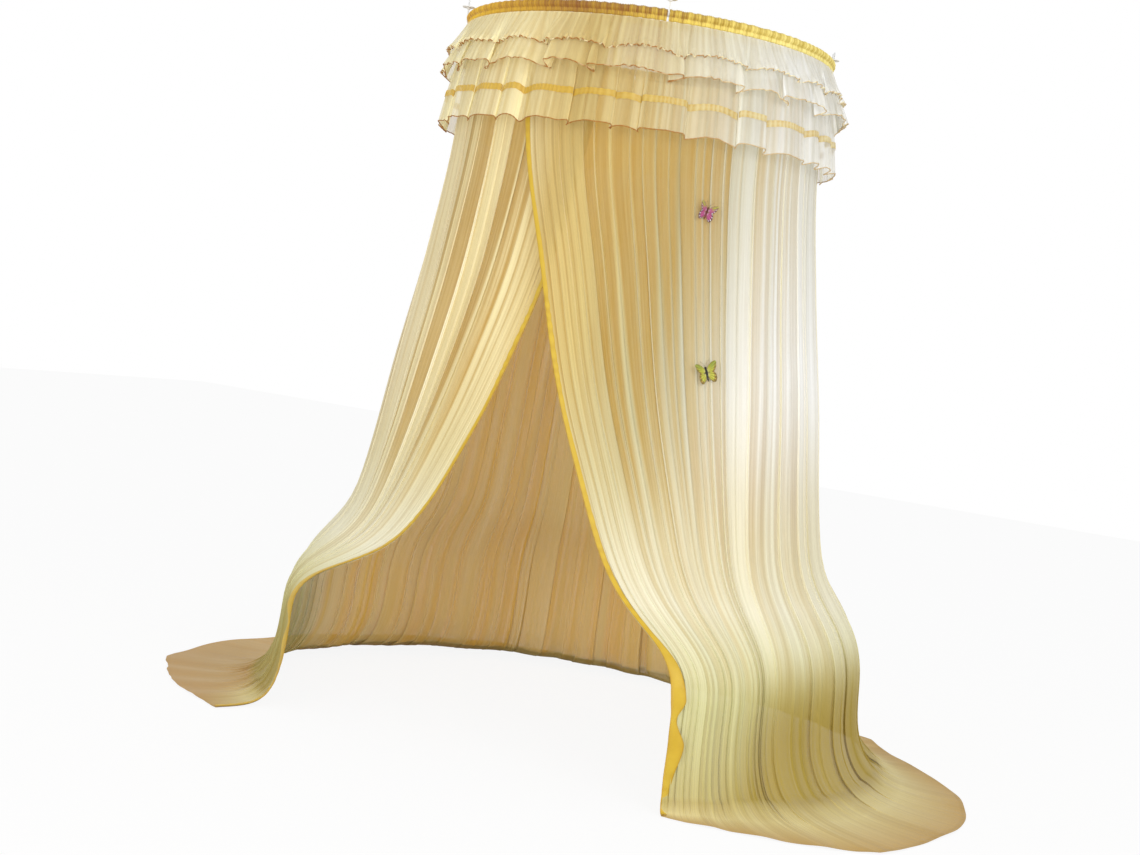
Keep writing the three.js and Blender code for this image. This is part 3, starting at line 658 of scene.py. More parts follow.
# Folds at the front: heading and reach in degrees, and how far each doubles back
frontFolds = (
    (-96.5, 0.30, 1.8), (-92.6, 0.32, 1.9), (-88.4, 0.30, 1.7), (-84.6, 0.34, 2.0), (-80.4, 0.30, 1.8),
    (-77.0, 0.26, 1.6), (-72.2, 1.00, 2.5), (-66.2, 0.24, 1.5), (-62.2, 0.26, 1.6), (-58.4, 0.90, 1.9),
    (-54.0, 0.32, 1.9), (-50.8, 0.95, 2.4), (-45.3, 0.24, 1.5), (-42.8, 0.28, 1.7), (-40.2, 0.42, 2.1),
    (-35.8, 0.28, 1.6), (-33.2, 0.34, 2.0), (-29.0, 0.30, 1.7), (-24.2, 0.40, 2.2), (-16.4, 0.34, 2.0),
    (-13.2, 0.34, 2.0), (-10.4, 0.30, 1.7), (-7.6, 0.32, 1.9), (-3.6, 0.40, 2.2), (1.0, 0.30, 1.7),
    (5.5, 0.34, 1.9), (10.0, 0.30, 1.7), (15.4, 0.36, 2.0), (207.0, 0.30, 1.8), (211.5, 0.36, 2.0),
    (216.4, 0.30, 1.7), (221.6, 0.34, 1.9), (227.0, 0.34, 1.8), (232.5, 0.30, 1.7), (238.4, 0.40, 2.2),
    (241.3, 0.28, 1.6), (244.6, 0.34, 1.9), (251.0, 0.38, 2.0), (255.0, 0.70, 1.9), (258.9, 0.38, 2.1),
    (265.3, 0.85, 2.4), (269.0, 0.24, 1.5), (271.6, 0.30, 1.8), (275.4, 0.32, 1.9), (279.2, 0.30, 1.8),
    (283.2, 0.32, 1.9),
)

# Where the net lies in several thicknesses: heading and half width in degrees, how much denser, how much it widens
frontVeils = (
    (-98.9, 1.5, 0.85, 0.1), (-95.2, 1.5, 0.8, 0.1), (-91.9, 1.2, 0.9, 0.1), (-88.9, 1.4, 0.75, 0.1),
    (-85.5, 1.5, 0.85, 0.1), (-82.0, 1.3, 0.8, 0.2), (-77.0, 0.4, 0.4, 1.5), (-72.2, 0.95, 1.0, 1.3),
    (-66.2, 0.5, 0.3, 1.5), (-58.4, 1.05, 0.7, 1.2), (-54.0, 0.4, 0.5, 1.0), (-50.8, 0.95, 1.0, 1.1),
    (-45.2, 0.4, 0.3, 1.0), (-42.8, 0.5, 0.4, 1.0), (-40.2, 0.5, 0.8, 0.8), (-35.6, 0.6, 0.4, 1.0),
    (-31.4, 2.0, 0.95, 0.1), (-26.5, 2.4, 0.95, 0.1), (-19.9, 0.6, 0.6, 0.4), (-15.6, 1.1, 0.95, 0.2),
    (-13.2, 0.8, 0.9, 0.2), (-10.2, 1.3, 0.45, 0.5), (-7.6, 0.5, 0.6, 1.0), (-1.2, 2.3, 0.95, 0.05),
    (4.2, 2.5, 0.9, 0.05), (9.6, 2.5, 0.95, 0.05), (14.3, 1.7, 0.9, 0.1), (24.0, 5.0, 0.7, 0.0),
    (208.0, 2.6, 0.75, 0.2), (213.4, 2.2, 0.8, 0.1), (218.5, 2.5, 0.95, 0.1), (224.3, 2.7, 0.85, 0.1),
    (230.2, 2.7, 0.95, 0.1), (235.8, 2.3, 0.9, 0.1), (242.6, 1.3, 0.8, 0.7), (252.7, 1.7, 0.95, 0.3),
    (256.8, 1.9, 0.9, 0.3), (265.3, 0.9, 1.0, 1.6), (268.6, 0.8, 0.35, 1.0), (272.6, 1.3, 0.9, 0.3),
    (276.2, 1.6, 0.8, 0.2), (280.0, 1.6, 0.9, 0.1), (283.8, 1.7, 0.85, 0.1),
)

veils = {
    "room": (4.0, 10.0),
    "half": (0.4, 2.4),
    "dense": (0.4, 0.95),
    "widen": (0, 0.8),
    "opening": (0.08, 0.66),  # rows over which they widen
    "edge": 0.24,  # share of the half width over which an edge fades
    # Light held back by one thickness, near side and far: hanging, low down, on the floor
    "thin": ((0.70, 0.965, 0.98), (0.94, 0.95, 0.97)),
    "thinRows": (0.66, 0.84, 1.0, 1.1),
    "held": (0.75, 0.3, 0.4, 0.985),  # by several thicknesses, less on the floor, by the hem, at most
    "fold": 0.8,  # how fully a fold counts as several thicknesses
    "seam": 0.6,
    "paleRows": (0.50, 0.76),  # from where to where the net grows pale all over
    "paleShare": (0.6, 0.1),
    "lapClear": 0.18,  # how much less light the upper width of a lap holds back, so that the binding below shows
    "lapPale": 0.5,  # how pale it is there
    "lapRows": (0.45, 0.6),
    "lapEdge": (-0.5, 1.5),  # degrees from the left edge over which it starts
    "mostCrease": 4,
    "creased": (0.5, 0.2),  # what a crease adds to the layers, and takes from how deep the cloth looks
    "hemDeep": 0.5,
    "mild": (1.0, 0.75),  # how pale several thicknesses look
    "behind": (34.0, 64.0, 170.0, 200.0),  # headings from and to where the net counts as the far side
    "farRows": (0.4, 0.75),  # how much less the far side's colour changes by row, and how much less it is far below
    "shadedFrom": (-55.0, -12.0),  # headings over which the net low down turns away from the light
    "shadedRows": (0.78, 0.88, 1.02, 1.25),
    "shaded": 0.8,
    "line": (0.6, 0.85),  # rows over which the painted highlights along the folds end
    "lineCrease": (1.0, 1.6),
    "lying": (0.95, 1.12),  # rows over which the net comes to lie on the floor
    "hem": (1.955, 1.965),
    "seamReach": 0.45,
}


def makePleats():
    # The folds set one by one, then others with uneven room between them. The reach of each stays well inside the
    # room beside it.
    centre, reach, turnBack = (np.array(v) for v in zip(*frontFolds))
    extra = [pleats["span"][0]]
    while extra[-1] < pleats["span"][1]:
        extra.append(extra[-1] + rng.uniform(*pleats["room"]))
    extra = np.array(extra[:-1])
    broad = rng.random(len(extra)) < pleats["broadShare"]
    extraReach = np.where(broad, rng.uniform(*pleats["broad"], len(extra)), rng.uniform(*pleats["narrow"], len(extra)))
    centre = np.concatenate([centre, extra])
    reach = np.concatenate([reach, extraReach])
    turnBack = np.concatenate([turnBack, rng.uniform(*pleats["turnBack"], len(extra))])
    order = np.argsort(centre)
    centre, reach, turnBack = centre[order], reach[order], turnBack[order]
    gap = np.diff(centre)
    beside = np.minimum(np.append(gap, gap[-1]), np.insert(gap, 0, gap[0]))
    reach = np.minimum(reach, beside * pleats["widest"])
    count = len(centre)
    side = np.where(rng.random(count) < 0.5, -1.0, 1.0)
    print("  ", count, "folds in the net")
    return centre, reach, turnBack, side, rng.uniform(*pleats["pace"], count), rng.uniform(0, lap, count)


def makeVeils():
    # The front ones, then random ones over the rest
    rows = list(frontVeils)
    at = pleats["span"][0] + 8
    while at < pleats["span"][1] - 4:
        rows.append((at, rng.uniform(*veils["half"]), rng.uniform(*veils["dense"]), rng.uniform(*veils["widen"])))
        at += rng.uniform(*veils["room"])
    return np.array(rows)


netPleats = makePleats()
veilRows = makeVeils()


def veilField(heading):
    # Share of the cloth that lies in several thicknesses: flat-topped windows that widen on the way down
    clear = np.ones((len(rowDown), len(heading)))
    opening = smoothStep(*veils["opening"], rowDown)[:, None]
    for centre, half, dense, widen in veilRows:
        reach = np.abs(heading - centre) / (half * (1 + widen * opening))
        clear *= 1 - dense * (1 - smoothStep(1 - veils["edge"], 1 + veils["edge"], reach))
    return 1 - clear


def headingColumns(low, high):
    # Even columns, and across every fold a set that crowds to its middle
    centre, reach = netPleats[:2]
    spot = np.linspace(-1, 1, pleats["samples"])
    spot = np.sign(spot) * np.abs(spot) ** pleats["crowding"] * pleats["window"]
    close = (centre[:, None] + reach[:, None] * spot).ravel()
    plain = np.linspace(low, high, int((high - low) / pleats["plainStep"]) + 2)[1:-1]
    nearest = np.abs((plain[:, None] - centre) / reach).min(1)
    inside = close[(close > low + pleats["fromSeam"]) & (close < high - pleats["fromSeam"])]
    columns = np.sort(np.concatenate([[low, high], inside, plain[nearest > pleats["plainFrom"]]]))
    return columns[np.append(np.diff(columns) > pleats["closest"], True)]


def pleatField(heading):
    # Each fold is x exp(-x x / 2): taken off the angle it doubles the cloth back, and put on the radius it lays
    # the three layers behind each other. Its strength changes slowly on the way down.
    slide, layer, folded = np.zeros((3, len(rowDown), len(heading)))
    down = rowDown[:, None]
    least, whole = pleats["grow"]
    ended, *rows = pleats["relax"]
    ease = (least + (1 - least) * smoothStep(0, whole, down)) * (1 - ended * smoothStep(*rows, down))
    mean, swing = pleats["strength"]
    for centre, reach, turnBack, side, pace, start in zip(*netPleats):
        near = np.abs(heading - centre) < pleats["far"] * reach
        if near.any():
            x = (heading[None, near] - centre) / reach
            bell = np.exp(-x * x / 2)
            strength = ease * (mean + swing * np.sin(lap * pace * down + start))
            slide[:, near] -= turnBack * strength * reach * x * bell
            layer[:, near] -= side * strength * x * bell
            folded[:, near] += strength * np.exp(-((x / pleats["thickness"]) ** 4))
    return slide, layer, folded


def lapShare(turn):
    # Where the right width lies over the left one: 1 well inside the left edge, to nothing below the crossing
    onRight = lines["leftEdge"][0] - fullTurn
    reach = smoothStep(*veils["lapEdge"], onRight[:, None] - turn) * (turn < 0)
    return reach * (1 - smoothStep(*veils["lapRows"], rowDown))[:, None]


def leftTuck(share):
    # The left width hangs behind the right one where they lap
    down = np.minimum(rowDown, 1)
    top, deep = drape["overlapTop"], drape["overlapDeep"]
    depth = top + (deep - top) * np.clip(down / drape["overlapRows"], 0, 1)
    held = np.clip(eased(down, drape["rows"], drape["overlapShares"]), 0, 1)
    return (depth * held)[:, None] * smoothStep(*drape["overlapFrom"], share)


def sheetPoints(start, end, heading, share, calm, tuck, slide, layer):
    # Between two lines the angle and the radius are mixed straight across by the share of heading. Folds slide the
    # cloth sideways and lay it in layers; broad waves push it along the profile's normal, upwards on the floor.
    down = rowDown[:, None]
    reach = heading[-1] - heading[0]
    quiet, ends = calm(share), window(*pleats["freeEnds"], share)
    rate, first, fall = pleats["lean"]
    lean = pleats["drift"] * np.sin(heading * rate + first) * np.sin(rowDown * fall)[:, None]
    moved = share + (slide + lean * ends) / reach * window(*pleats["slideEnds"], share)
    turn, radius = (a[:, None] + (b - a)[:, None] * moved for a, b in zip(start, end))
    radius = radius - tuck(share)
    at, spread, much = pleats["hemIn"]
    train = pleats["hemWander"] * waves(heading, pleats["wander"]) * ends
    train = train - much * np.exp(-(((heading - at) / spread) ** 2))
    radius = radius * (1 + train * smoothStep(1.0, 2.0, down))
    height = netHeight[:, None] + 0 * radius
    outRun, drop = np.gradient(radius, axis=0), -np.gradient(height, axis=0)
    length = np.hypot(outRun, drop)
    depth = eased(rowDown, pleats["depthRows"], pleats["depth"])[:, None]
    lying = smoothStep(*veils["lying"], down)
    least, left = pleats["swellTop"], pleats["floorSwell"]
    swell = np.cos(share * 4 * lap) * quiet * pleats["swell"]
    swell = swell * (least + (1 - least) * smoothStep(0, pleats["swellRow"], down))
    atEdge, away = pleats["calm"]
    push = depth * layer * pleats["layer"] * (atEdge + away * quiet) + swell * (1 - (1 - left) * lying)
    push = push + lying * (pleats["lifted"] * depth + left * pleats["swell"] * quiet)
    height = np.maximum(height + push * outRun / length, crown["floor"] + drape["lowest"])
    return turn, polar(turn, radius + push * drop / length, height)


def sheetValues(turn, points, heading, share, folded):
    # What the material reads: the light held back, how deep in the folds, the row, the far side, the painted
    # highlights along the folds
    down = rowDown[:, None]
    crease = creased(points, np.radians(turn), veils["mostCrease"])
    layered, raised = veils["creased"]
    lying = smoothStep(*veils["lying"], down)
    hem = smoothStep(*veils["hem"], down)
    behind = window(*veils["behind"], heading)
    folded = np.clip(folded, 0, 1)

    def sides(near, far):
        # One value on the near side, another on the far side
        return near + (far - near) * behind

    seam = np.exp(-((np.minimum(share, 1 - share) * (heading[-1] - heading[0]) / veils["seamReach"]) ** 2))
    allOver = sides(*veils["paleShare"]) * smoothStep(*veils["paleRows"], down)
    once = (1 - veilField(heading)) * (1 - allOver) * (1 - veils["fold"] * folded) * (1 - veils["seam"] * seam)
    shaded = smoothStep(*veils["shadedFrom"], heading) * window(*veils["shadedRows"], down)
    several = (1 - once) * (1 - veils["shaded"] * shaded * (1 - behind))
    rows = (np.interp(rowDown, veils["thinRows"], np.take(row, (0, 1, 1, 2)))[:, None] for row in veils["thin"])
    thin = sides(*rows)
    more, less, atHem, most = veils["held"]
    held = np.clip(thin + (1 - thin) * (more * several * (1 - less * lying) + atHem * hem), 0, most)
    lapped = lapShare(turn)
    held = held * (1 - veils["lapClear"] * lapped)
    valley = 1 - sides(*veils["mild"]) * several - raised * (crease - 1) + veils["hemDeep"] * hem
    # Painted highlight along the folds, on the near side and above the floor
    line = folded ** 2 * smoothStep(*veils["lineCrease"], crease) * (1 - smoothStep(*veils["line"], down))
    slower, nearer = veils["farRows"]
    return {
        "cover": 1 - (1 - held) ** (1 + layered * (crease - 1)),
        "valley": np.clip(valley, 0, 1) * (1 - veils["lapPale"] * lapped),
        "down": down * (1 - slower * behind * (1 - lying)),
        "behind": behind * (1 - nearer * lying),
        "line": line * (1 - behind),
    }


nets = {
    # Start and end line, how calm the broad waves are towards a front edge, flat size
    "front_right_net": ("rightEdge", "right", lambda share: smoothStep(0, 0.3, share), (0.85, 2.95)),
    "side_right_net": ("right", "backRight", np.ones_like, (1.20, 3.10)),
    "back_right_net": ("backRight", "back", np.ones_like, (0.75, 2.80)),
    "back_left_net": ("back", "backLeft", np.ones_like, (0.75, 2.80)),
    "side_left_net": ("backLeft", "left", np.ones_like, (1.20, 3.10)),
    "front_left_net": ("left", "leftEdge", lambda share: 1 - smoothStep(0.7, 1, share), (0.90, 3.00)),
}
netBodies = {
    "front_right_net": "right_front", "front_left_net": "left_front",
    "back_right_net": "crown", "back_left_net": "crown",
}
netBlends = {
    "side_right_net": ("right_front", (50.0, 0.63, -1.2), (-20.0, 0.63, -1.2)),
    "side_left_net": ("left_front", (130.0, 0.63, -1.2), (200.0, 0.63, -1.2)),
}


def makeNet():
    # Six widths, each between two lines, with its folds and its stored values; the front and back widths also with
    # what they move with
    perDegree = math.radians(drape["headingRadius"])
    down = np.concatenate([[0], np.cumsum(np.hypot(np.diff(lines["right"][1]), np.diff(netHeight)))])
    for name, (first, last, calm, flat) in nets.items():
        start, end = lines[first], lines[last]
        low, high = start[0][0], end[0][0]
        heading = headingColumns(low, high)
        share = (heading - low) / (high - low)
        slide, layer, folded = pleatField(heading)
        tuck = leftTuck if name == "front_left_net" else np.zeros_like
        turn, points = sheetPoints(start, end, heading, share, calm, tuck, slide, layer)
        values = sheetValues(turn, points, heading, share, folded)
        look = netCloth, "net_cream"
        piece = gridMesh(
            "sheer_" + name, points, look, netBodies.get(name), across=heading * perDegree, along=down, values=values
        )
        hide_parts(name)
        if name in netBlends:
            body, start, end = netBlends[name]
            polar(*start).tolist()
            polar(*end).tolist()
            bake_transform(piece)
        print("  ", name, points.shape)


makeNet()
print("net made")


# Bindings: satin folded over the front edges, a little puckered, wide and loose near the floor, with one pinch

binding = {
    "rows": (0, 0.7, 0.78, 0.82, 0.855, 0.88, 0.915, 0.96, 1.0, 2.0),
    "width": (0.020, 0.020, 0.021, 0.040, 0.048, 0.020, 0.050, 0.034, 0.024, 0.020),
    "loose": (0, 0, 0.001, 0.006, 0.009, 0.003, 0.012, 0.006, 0.002, 0.0),
    "past": 0.002,  # past the net's edge
    "proud": 0.0021,
    "puckers": 0.047,
    "puckerDepth": 0.0006,
    "wander": ((2.7, 11, 0), (1.7, 31, 0)),
    "fade": 7.3,  # how fast the puckers come and go down the edge
    "cupped": (0.4, 0.6),  # depth of a pucker midway, and what is added at the rims
    "sway": ((0.0006, 7.0, 0), (0.0004, 17.0, 1)),
    "slip": 17.0,
    "lean": (0.7, 0.5, 13.0),
    "lowest": 0.001,
    "tint": (0.25, 0.25, 0.9),  # painted shade, how deep it looks: everywhere, in a pucker, at the rims
    "liesOver": 0.006,  # above the floor, over the net's edge
    "ringPoints": 18,
    "along": 460,
    "flat": (0.022, 2.95),
    "sides": {"right_binding": ("rightEdge", 1, "right_front"), "left_binding": ("leftEdge", -1, "left_front")},
}


def bindingStrip(line, side, tuck):
    # A flattened loop round the edge of the net, carried down the edge line, with small waves along its length
    turn, radius = line[0], line[1] - tuck
    length = lengthAlong(polar(turn, radius, netHeight))
    even = np.linspace(0, length[-1], binding["along"])[:, None]
    turn, radius, height, down = (np.interp(even, length, v) for v in (turn, radius, netHeight, rowDown))
    loop = np.linspace(0, lap, binding["ringPoints"], endpoint=False)
    wide = eased(down, binding["rows"], binding["width"]) / 2
    loose = eased(down, binding["rows"], binding["loose"])
    outer = 0.5 + 0.5 * np.cos(loop)
    across = (2 * wide * outer - binding["past"] - loose * (0.5 + 0.5 * np.sin(even * binding["slip"]))) * side
    mean, swing, rate = binding["lean"]
    lean = outer * loose * (mean + swing * np.cos(even * rate))
    wave = np.sin(lap * even / binding["puckers"] + waves(even, binding["wander"]))
    wave = wave * (0.5 + 0.5 * np.sin(even * binding["fade"]))
    midway, atRims = binding["cupped"]
    thick = binding["proud"] * np.sin(loop)
    thick = thick + binding["puckerDepth"] * wave * (midway + atRims * np.abs(np.cos(loop)))
    run, fall = np.gradient(radius, axis=0), -np.gradient(height, axis=0)
    step = np.maximum(np.hypot(run, fall), 1e-9)
    lying, falling = np.clip(run / step, 0, 1), np.clip(fall / step, 0, 1)
    out = (thick + waves(even, binding["sway"]) + lean + 0.5 * binding["liesOver"] * lying) * falling
    up = (thick + binding["liesOver"]) * lying
    points = polar(turn + np.degrees(across / radius), radius + out, height + up)
    points[..., 2] = np.maximum(points[..., 2], crown["floor"] + binding["lowest"])
    # Painted shade: deeper in the puckers and at the rims
    mean, pucker, rim = binding["tint"]
    return points, even[:, 0], np.clip(mean - pucker * wave + rim * np.cos(loop) ** 4, 0, 1)


def makeBindings():
    # One down each front edge, the left one behind the right one where they lap
    tuckDown = leftTuck(np.array([1.0]))[:, 0]
    across = np.linspace(0, 2 * binding["width"][0], binding["ringPoints"])
    for name, (edge, side, body) in binding["sides"].items():
        points, along, valley = bindingStrip(lines[edge], side, tuckDown * (side < 0))
        piece = gridMesh(
            "satin_" + name, points[:, ::side], (goldSatin, "gold_satin"), body, around=True,
            across=across, along=along, values={"valley": valley}
        )
        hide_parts(name)


makeBindings()
print("bindings made")


# Ruffles, and the ribbon on the lowest

ruffles = {
    "headRadius": 0.6540,
    "step": 0.0031,
    "columns": 1620,
    "rows": 22,
    "fullness": 1.5,
    "streaks": 0.0011,
    "streakEase": 0.5,  # how much of them has gone at the edge
    "scatter": 0.3,  # of the folds, as a share of the room between them
    "sided": 0.6,  # share of the folds that lie to one side
    "thickness": 1.3,  # reaches within which a fold lies in layers
    "roundness": 1.1,  # above 1 the lobes between the folds are narrower
    "level": 0.45,  # height of a lobe, as a share, that neither rises nor drops
    "layered": 1.1,
    "growRows": (0.0, 0.8),  # shares of the drop over which the folds grow
    "frillRows": (0.7, 1.0),
    "lift": 0.5,
    "mostCrease": 3,
    "tint": (0.42, 0.28, 0.4, 0.2),  # how deep it looks: everywhere, on a streak, in a fold, in a crease
    "layers": (1.25, 0.5),  # how many layers a crease counts for, and how many fewer where deep
    "thread": 0.0017,
    "stitch": 0.25,  # how much thicker the thread is at a stitch
    "gaps": (0.2, 0.7),
    "cover": 0.50,  # light held back by one layer
    "thin": 0.08,  # less of it towards +X
    "thinFrom": (-0.05, 0.35),
    "tiers": {
        "lower_ruffle": {
            "layer": 0, "drop": 0.400, "flare": 0.057, "lobes": 30, "bow": 0.011, "rise": 0.014, "dash": 0.0,
            "turnBack": (0.3, 2.0), "reach": (0.9, 2.0), "depth": 0.010, "fall": 0.010, "crinkle": 0.0012,
            "crinkles": 61, "flat": (5.2, 0.34),
        },
        "middle_ruffle": {
            "layer": 1, "drop": 0.220, "flare": 0.072, "lobes": 20, "bow": 0.010, "rise": 0.024, "dash": 0.35,
            "turnBack": (1.8, 3.2), "reach": (1.5, 2.5), "depth": 0.014, "fall": 0.017, "crinkle": 0.0030,
            "crinkles": 97, "flat": (5.4, 0.18),
        },
        "upper_ruffle": {
            "layer": 2, "drop": 0.145, "flare": 0.059, "lobes": 19, "bow": 0.006, "rise": 0.018, "dash": 0.9,
            "turnBack": (0.5, 1.7), "reach": (1.4, 2.2), "depth": 0.008, "fall": 0.008, "crinkle": 0.0042,
            "crinkles": 173, "flat": (5.0, 0.11),
        },
    },
}
ribbon = {
    "drop": 0.300, "width": 0.022, "rows": 7, "proud": 0.0024, "pucker": 0.0010, "puckers": 320, "edge": 0.0007,
    "tint": (0.62, 0.3),  # painted shade, how deep it looks: everywhere, and less on a pucker
    "middle": (0.6, 0.4),  # share of that in the middle, and what is added at the edges
    "flat": (5.2, 0.022),
}


def planLobes(tier):
    # Where the folds of a ruffle stand, how far each reaches, how strongly it doubles back and to which side
    count, scatter = tier["lobes"], ruffles["scatter"]
    centre = (np.arange(count) + rng.uniform(-scatter, scatter, count)) * fullTurn / count
    reach = rng.uniform(*tier["reach"], count)
    turnBack = rng.uniform(*tier["turnBack"], count)
    return centre, reach, turnBack, np.where(rng.random(count) < ruffles["sided"], 1.0, -1.0)


def ruffleSurface(tier, plan, heights, proud=0.0):
    # A ring that flares from heading to edge. Between two folds the cloth bows outwards and its edge rises; at each
    # fold x exp(-x x / 2) slides it sideways, lays it in layers and lets one side drop. The edge is crinkled.
    turn = np.linspace(0, fullTurn, ruffles["columns"], endpoint=False)
    angle = np.radians(turn)
    foot = crown["bandTop"] - tier["drop"]
    share = ((crown["netTop"] - heights) / (crown["netTop"] - foot))[:, None]
    slide, layer, fold = np.zeros((3, len(turn)))
    for centre, reach, turnBack, side in zip(*plan):
        x = ((turn - centre + fullTurn / 2) % fullTurn - fullTurn / 2) / reach
        bell = np.exp(-x * x / 2)
        slide -= turnBack * reach * x * bell
        layer -= side * x * bell
        fold += np.exp(-((x / ruffles["thickness"]) ** 4))
    order = np.sort(plan[0] % fullTurn)
    edges = np.concatenate([[order[-1] - fullTurn], order, [order[0] + fullTurn]])
    k = np.searchsorted(edges, turn, side="right") - 1
    lobe = np.sin(np.pi * (turn - edges[k]) / (edges[k + 1] - edges[k])) ** ruffles["roundness"]
    grow = smoothStep(*ruffles["growRows"], share)
    streak = np.cos(83 * angle + 2 * np.sin(5 * angle)) * np.cos(37 * angle + 1)
    streak += 0.6 * np.cos(211 * angle + 3 * np.sin(13 * angle))
    fast = tier["crinkles"] * angle
    crinkle = np.sin(fast + 3 * np.sin(17 * angle)) + 0.6 * np.sin(1.7 * fast + 2)
    frill = tier["crinkle"] * crinkle * smoothStep(*ruffles["frillRows"], share)
    head = ruffles["headRadius"] + tier["layer"] * ruffles["step"]
    radius = head + (crown["hoopRadius"] + tier["flare"] - head) * share
    radius = radius + (tier["bow"] * (2 * lobe - 1) + ruffles["layered"] * tier["depth"] * layer) * grow
    radius = radius + ruffles["streaks"] * streak * (1 - ruffles["streakEase"] * share) + frill + proud
    rise = (tier["rise"] * (lobe - ruffles["level"]) + tier["fall"] * layer) * grow * share
    points = polar(turn + slide * grow, radius, heights[:, None] + rise + ruffles["lift"] * frill)
    crease = creased(points, angle, ruffles["mostCrease"])
    mean, onStreak, inFold, inCrease = ruffles["tint"]
    valley = mean - onStreak * streak - inFold * fold * grow - inCrease * (crease - 1)
    return points, crease, np.clip(valley, 0, 1)


def makeTier(name, tier, plan, across):
    # The ruffle, and its picot edge: a bead of thread, paler where the stitches leave gaps
    heights = np.linspace(crown["netTop"], crown["bandTop"] - tier["drop"], ruffles["rows"])
    points, crease, valley = ruffleSurface(tier, plan, heights)
    thin = ruffles["thin"] * smoothStep(*ruffles["thinFrom"], points[..., 0])
    most, fewer = ruffles["layers"]
    cover = 1 - (1 - ruffles["cover"] + thin) ** (crease * (most - fewer * valley))
    piece = gridMesh(
        "frilled_" + name, points, (ruffleCloth, "ruffle_net"), "crown", around=True,
        across=across, along=-heights, values={"cover": cover, "valley": valley}
    )
    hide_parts(name)
    bead = ruffles["thread"] * (1 + ruffles["stitch"] * np.cos(np.arange(ruffles["columns"]) * np.pi / 2))
    angle = across / across[-1] * lap
    gaps = np.cos(211 * angle) + np.cos(87 * angle + 1)
    picot = gridMesh(
        name + "_picot", tubeAlong(points[-1], bead, 6, closed=True), (picotEdge, "ruffle_net"), "crown",
        around=True, tube=True, across=across, along=np.linspace(0, 0.012, 6),
        values={"pale": tier["dash"] * smoothStep(*ruffles["gaps"], gaps)}
    )


def makeRibbon(tier, plan, across):
    # A strip that follows the ruffle, with gathers that push it out and wave both its edges
    middle, half = crown["bandTop"] - ribbon["drop"], ribbon["width"] / 2
    heights = np.linspace(middle + half, middle - half, ribbon["rows"])
    points = ruffleSurface(tier, plan, heights, ribbon["proud"])[0]
    turn = np.linspace(0, lap, ruffles["columns"], endpoint=False)
    pucker = np.cos(ribbon["puckers"] * turn + 3 * np.sin(13 * turn))
    edge = np.linspace(1, -1, ribbon["rows"])[:, None]
    points[..., 2] += ribbon["edge"] * edge * np.abs(edge) * pucker
    (mean, less), (middle, atEdge) = ribbon["tint"], ribbon["middle"]
    push = ribbon["pucker"] / crown["hoopRadius"] * pucker * (1 - atEdge * edge ** 2)
    points[..., :2] *= 1 + push[..., None]
    # Painted shade between the puckers, more at the edges
    shade = np.clip(mean - less * pucker, 0, 1) * (middle + atEdge * np.abs(edge))
    piece = gridMesh(
        "gathered_satin_ribbon", points, (ribbonSatin, "gold_satin"), "crown", around=True,
        across=across, along=-heights, values={"valley": shade}
    )
    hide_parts("satin_ribbon")


def makeRuffles():
    # The folds of all three are planned first; the ribbon lies on the lowest
    plans = {name: planLobes(tier) for name, tier in ruffles["tiers"].items()}
    across = np.linspace(0, lap * crown["hoopRadius"] * ruffles["fullness"], ruffles["columns"])
    for name, tier in ruffles["tiers"].items():
        makeTier(name, tier, plans[name], across)
    makeRibbon(ruffles["tiers"]["lower_ruffle"], plans["lower_ruffle"], across)


makeRuffles()
print("ruffles made")


# Gathered band: a rod pocket over a narrower frill, in four lengths, open at each hook

band = {
    "hookGap": 0.0075,
    "columns": 1100,
    "rows": 13,
    "gathers": 118,
    "wander": ((3.1, 7, 0), (1.6, 19, 1), (0.9, 43, 0)),
    "coarse": 0.0016,
    "fine": 0.0009,
    "edgeWave": 0.0022,
    "offset": 0.9,  # of the bulges, so that they swell about the profile
    "stitched": (0.04, 0.16, 0.1),  # half width of the stitching, and the room beside it and at the edges
    "least": (0.35, 0.5),  # of the coarse and the fine gathers, at the stitches and the edges
    # Painted shade: how dark it looks in the hollows of the coarse and the medium gathers, along the fine ones, by the
    # stitching and the edges, everywhere, and less on the lower row
    "tint": (0.55, 0.45, 0.15, 0.25, 0.12, 0.52),
    "down": (0.0, 0.05, 0.16, 0.33, 0.48, 0.57, 0.61, 0.66, 0.78, 0.9, 1.0),
    "half": (0.0012, 0.0060, 0.0112, 0.0130, 0.0110, 0.0068, 0.0052, 0.0058, 0.0066, 0.0056, 0.0034),
    "stitch": 0.61,  # share of the height where the two rows are stitched
    "flat": (1.5, 0.042),
}


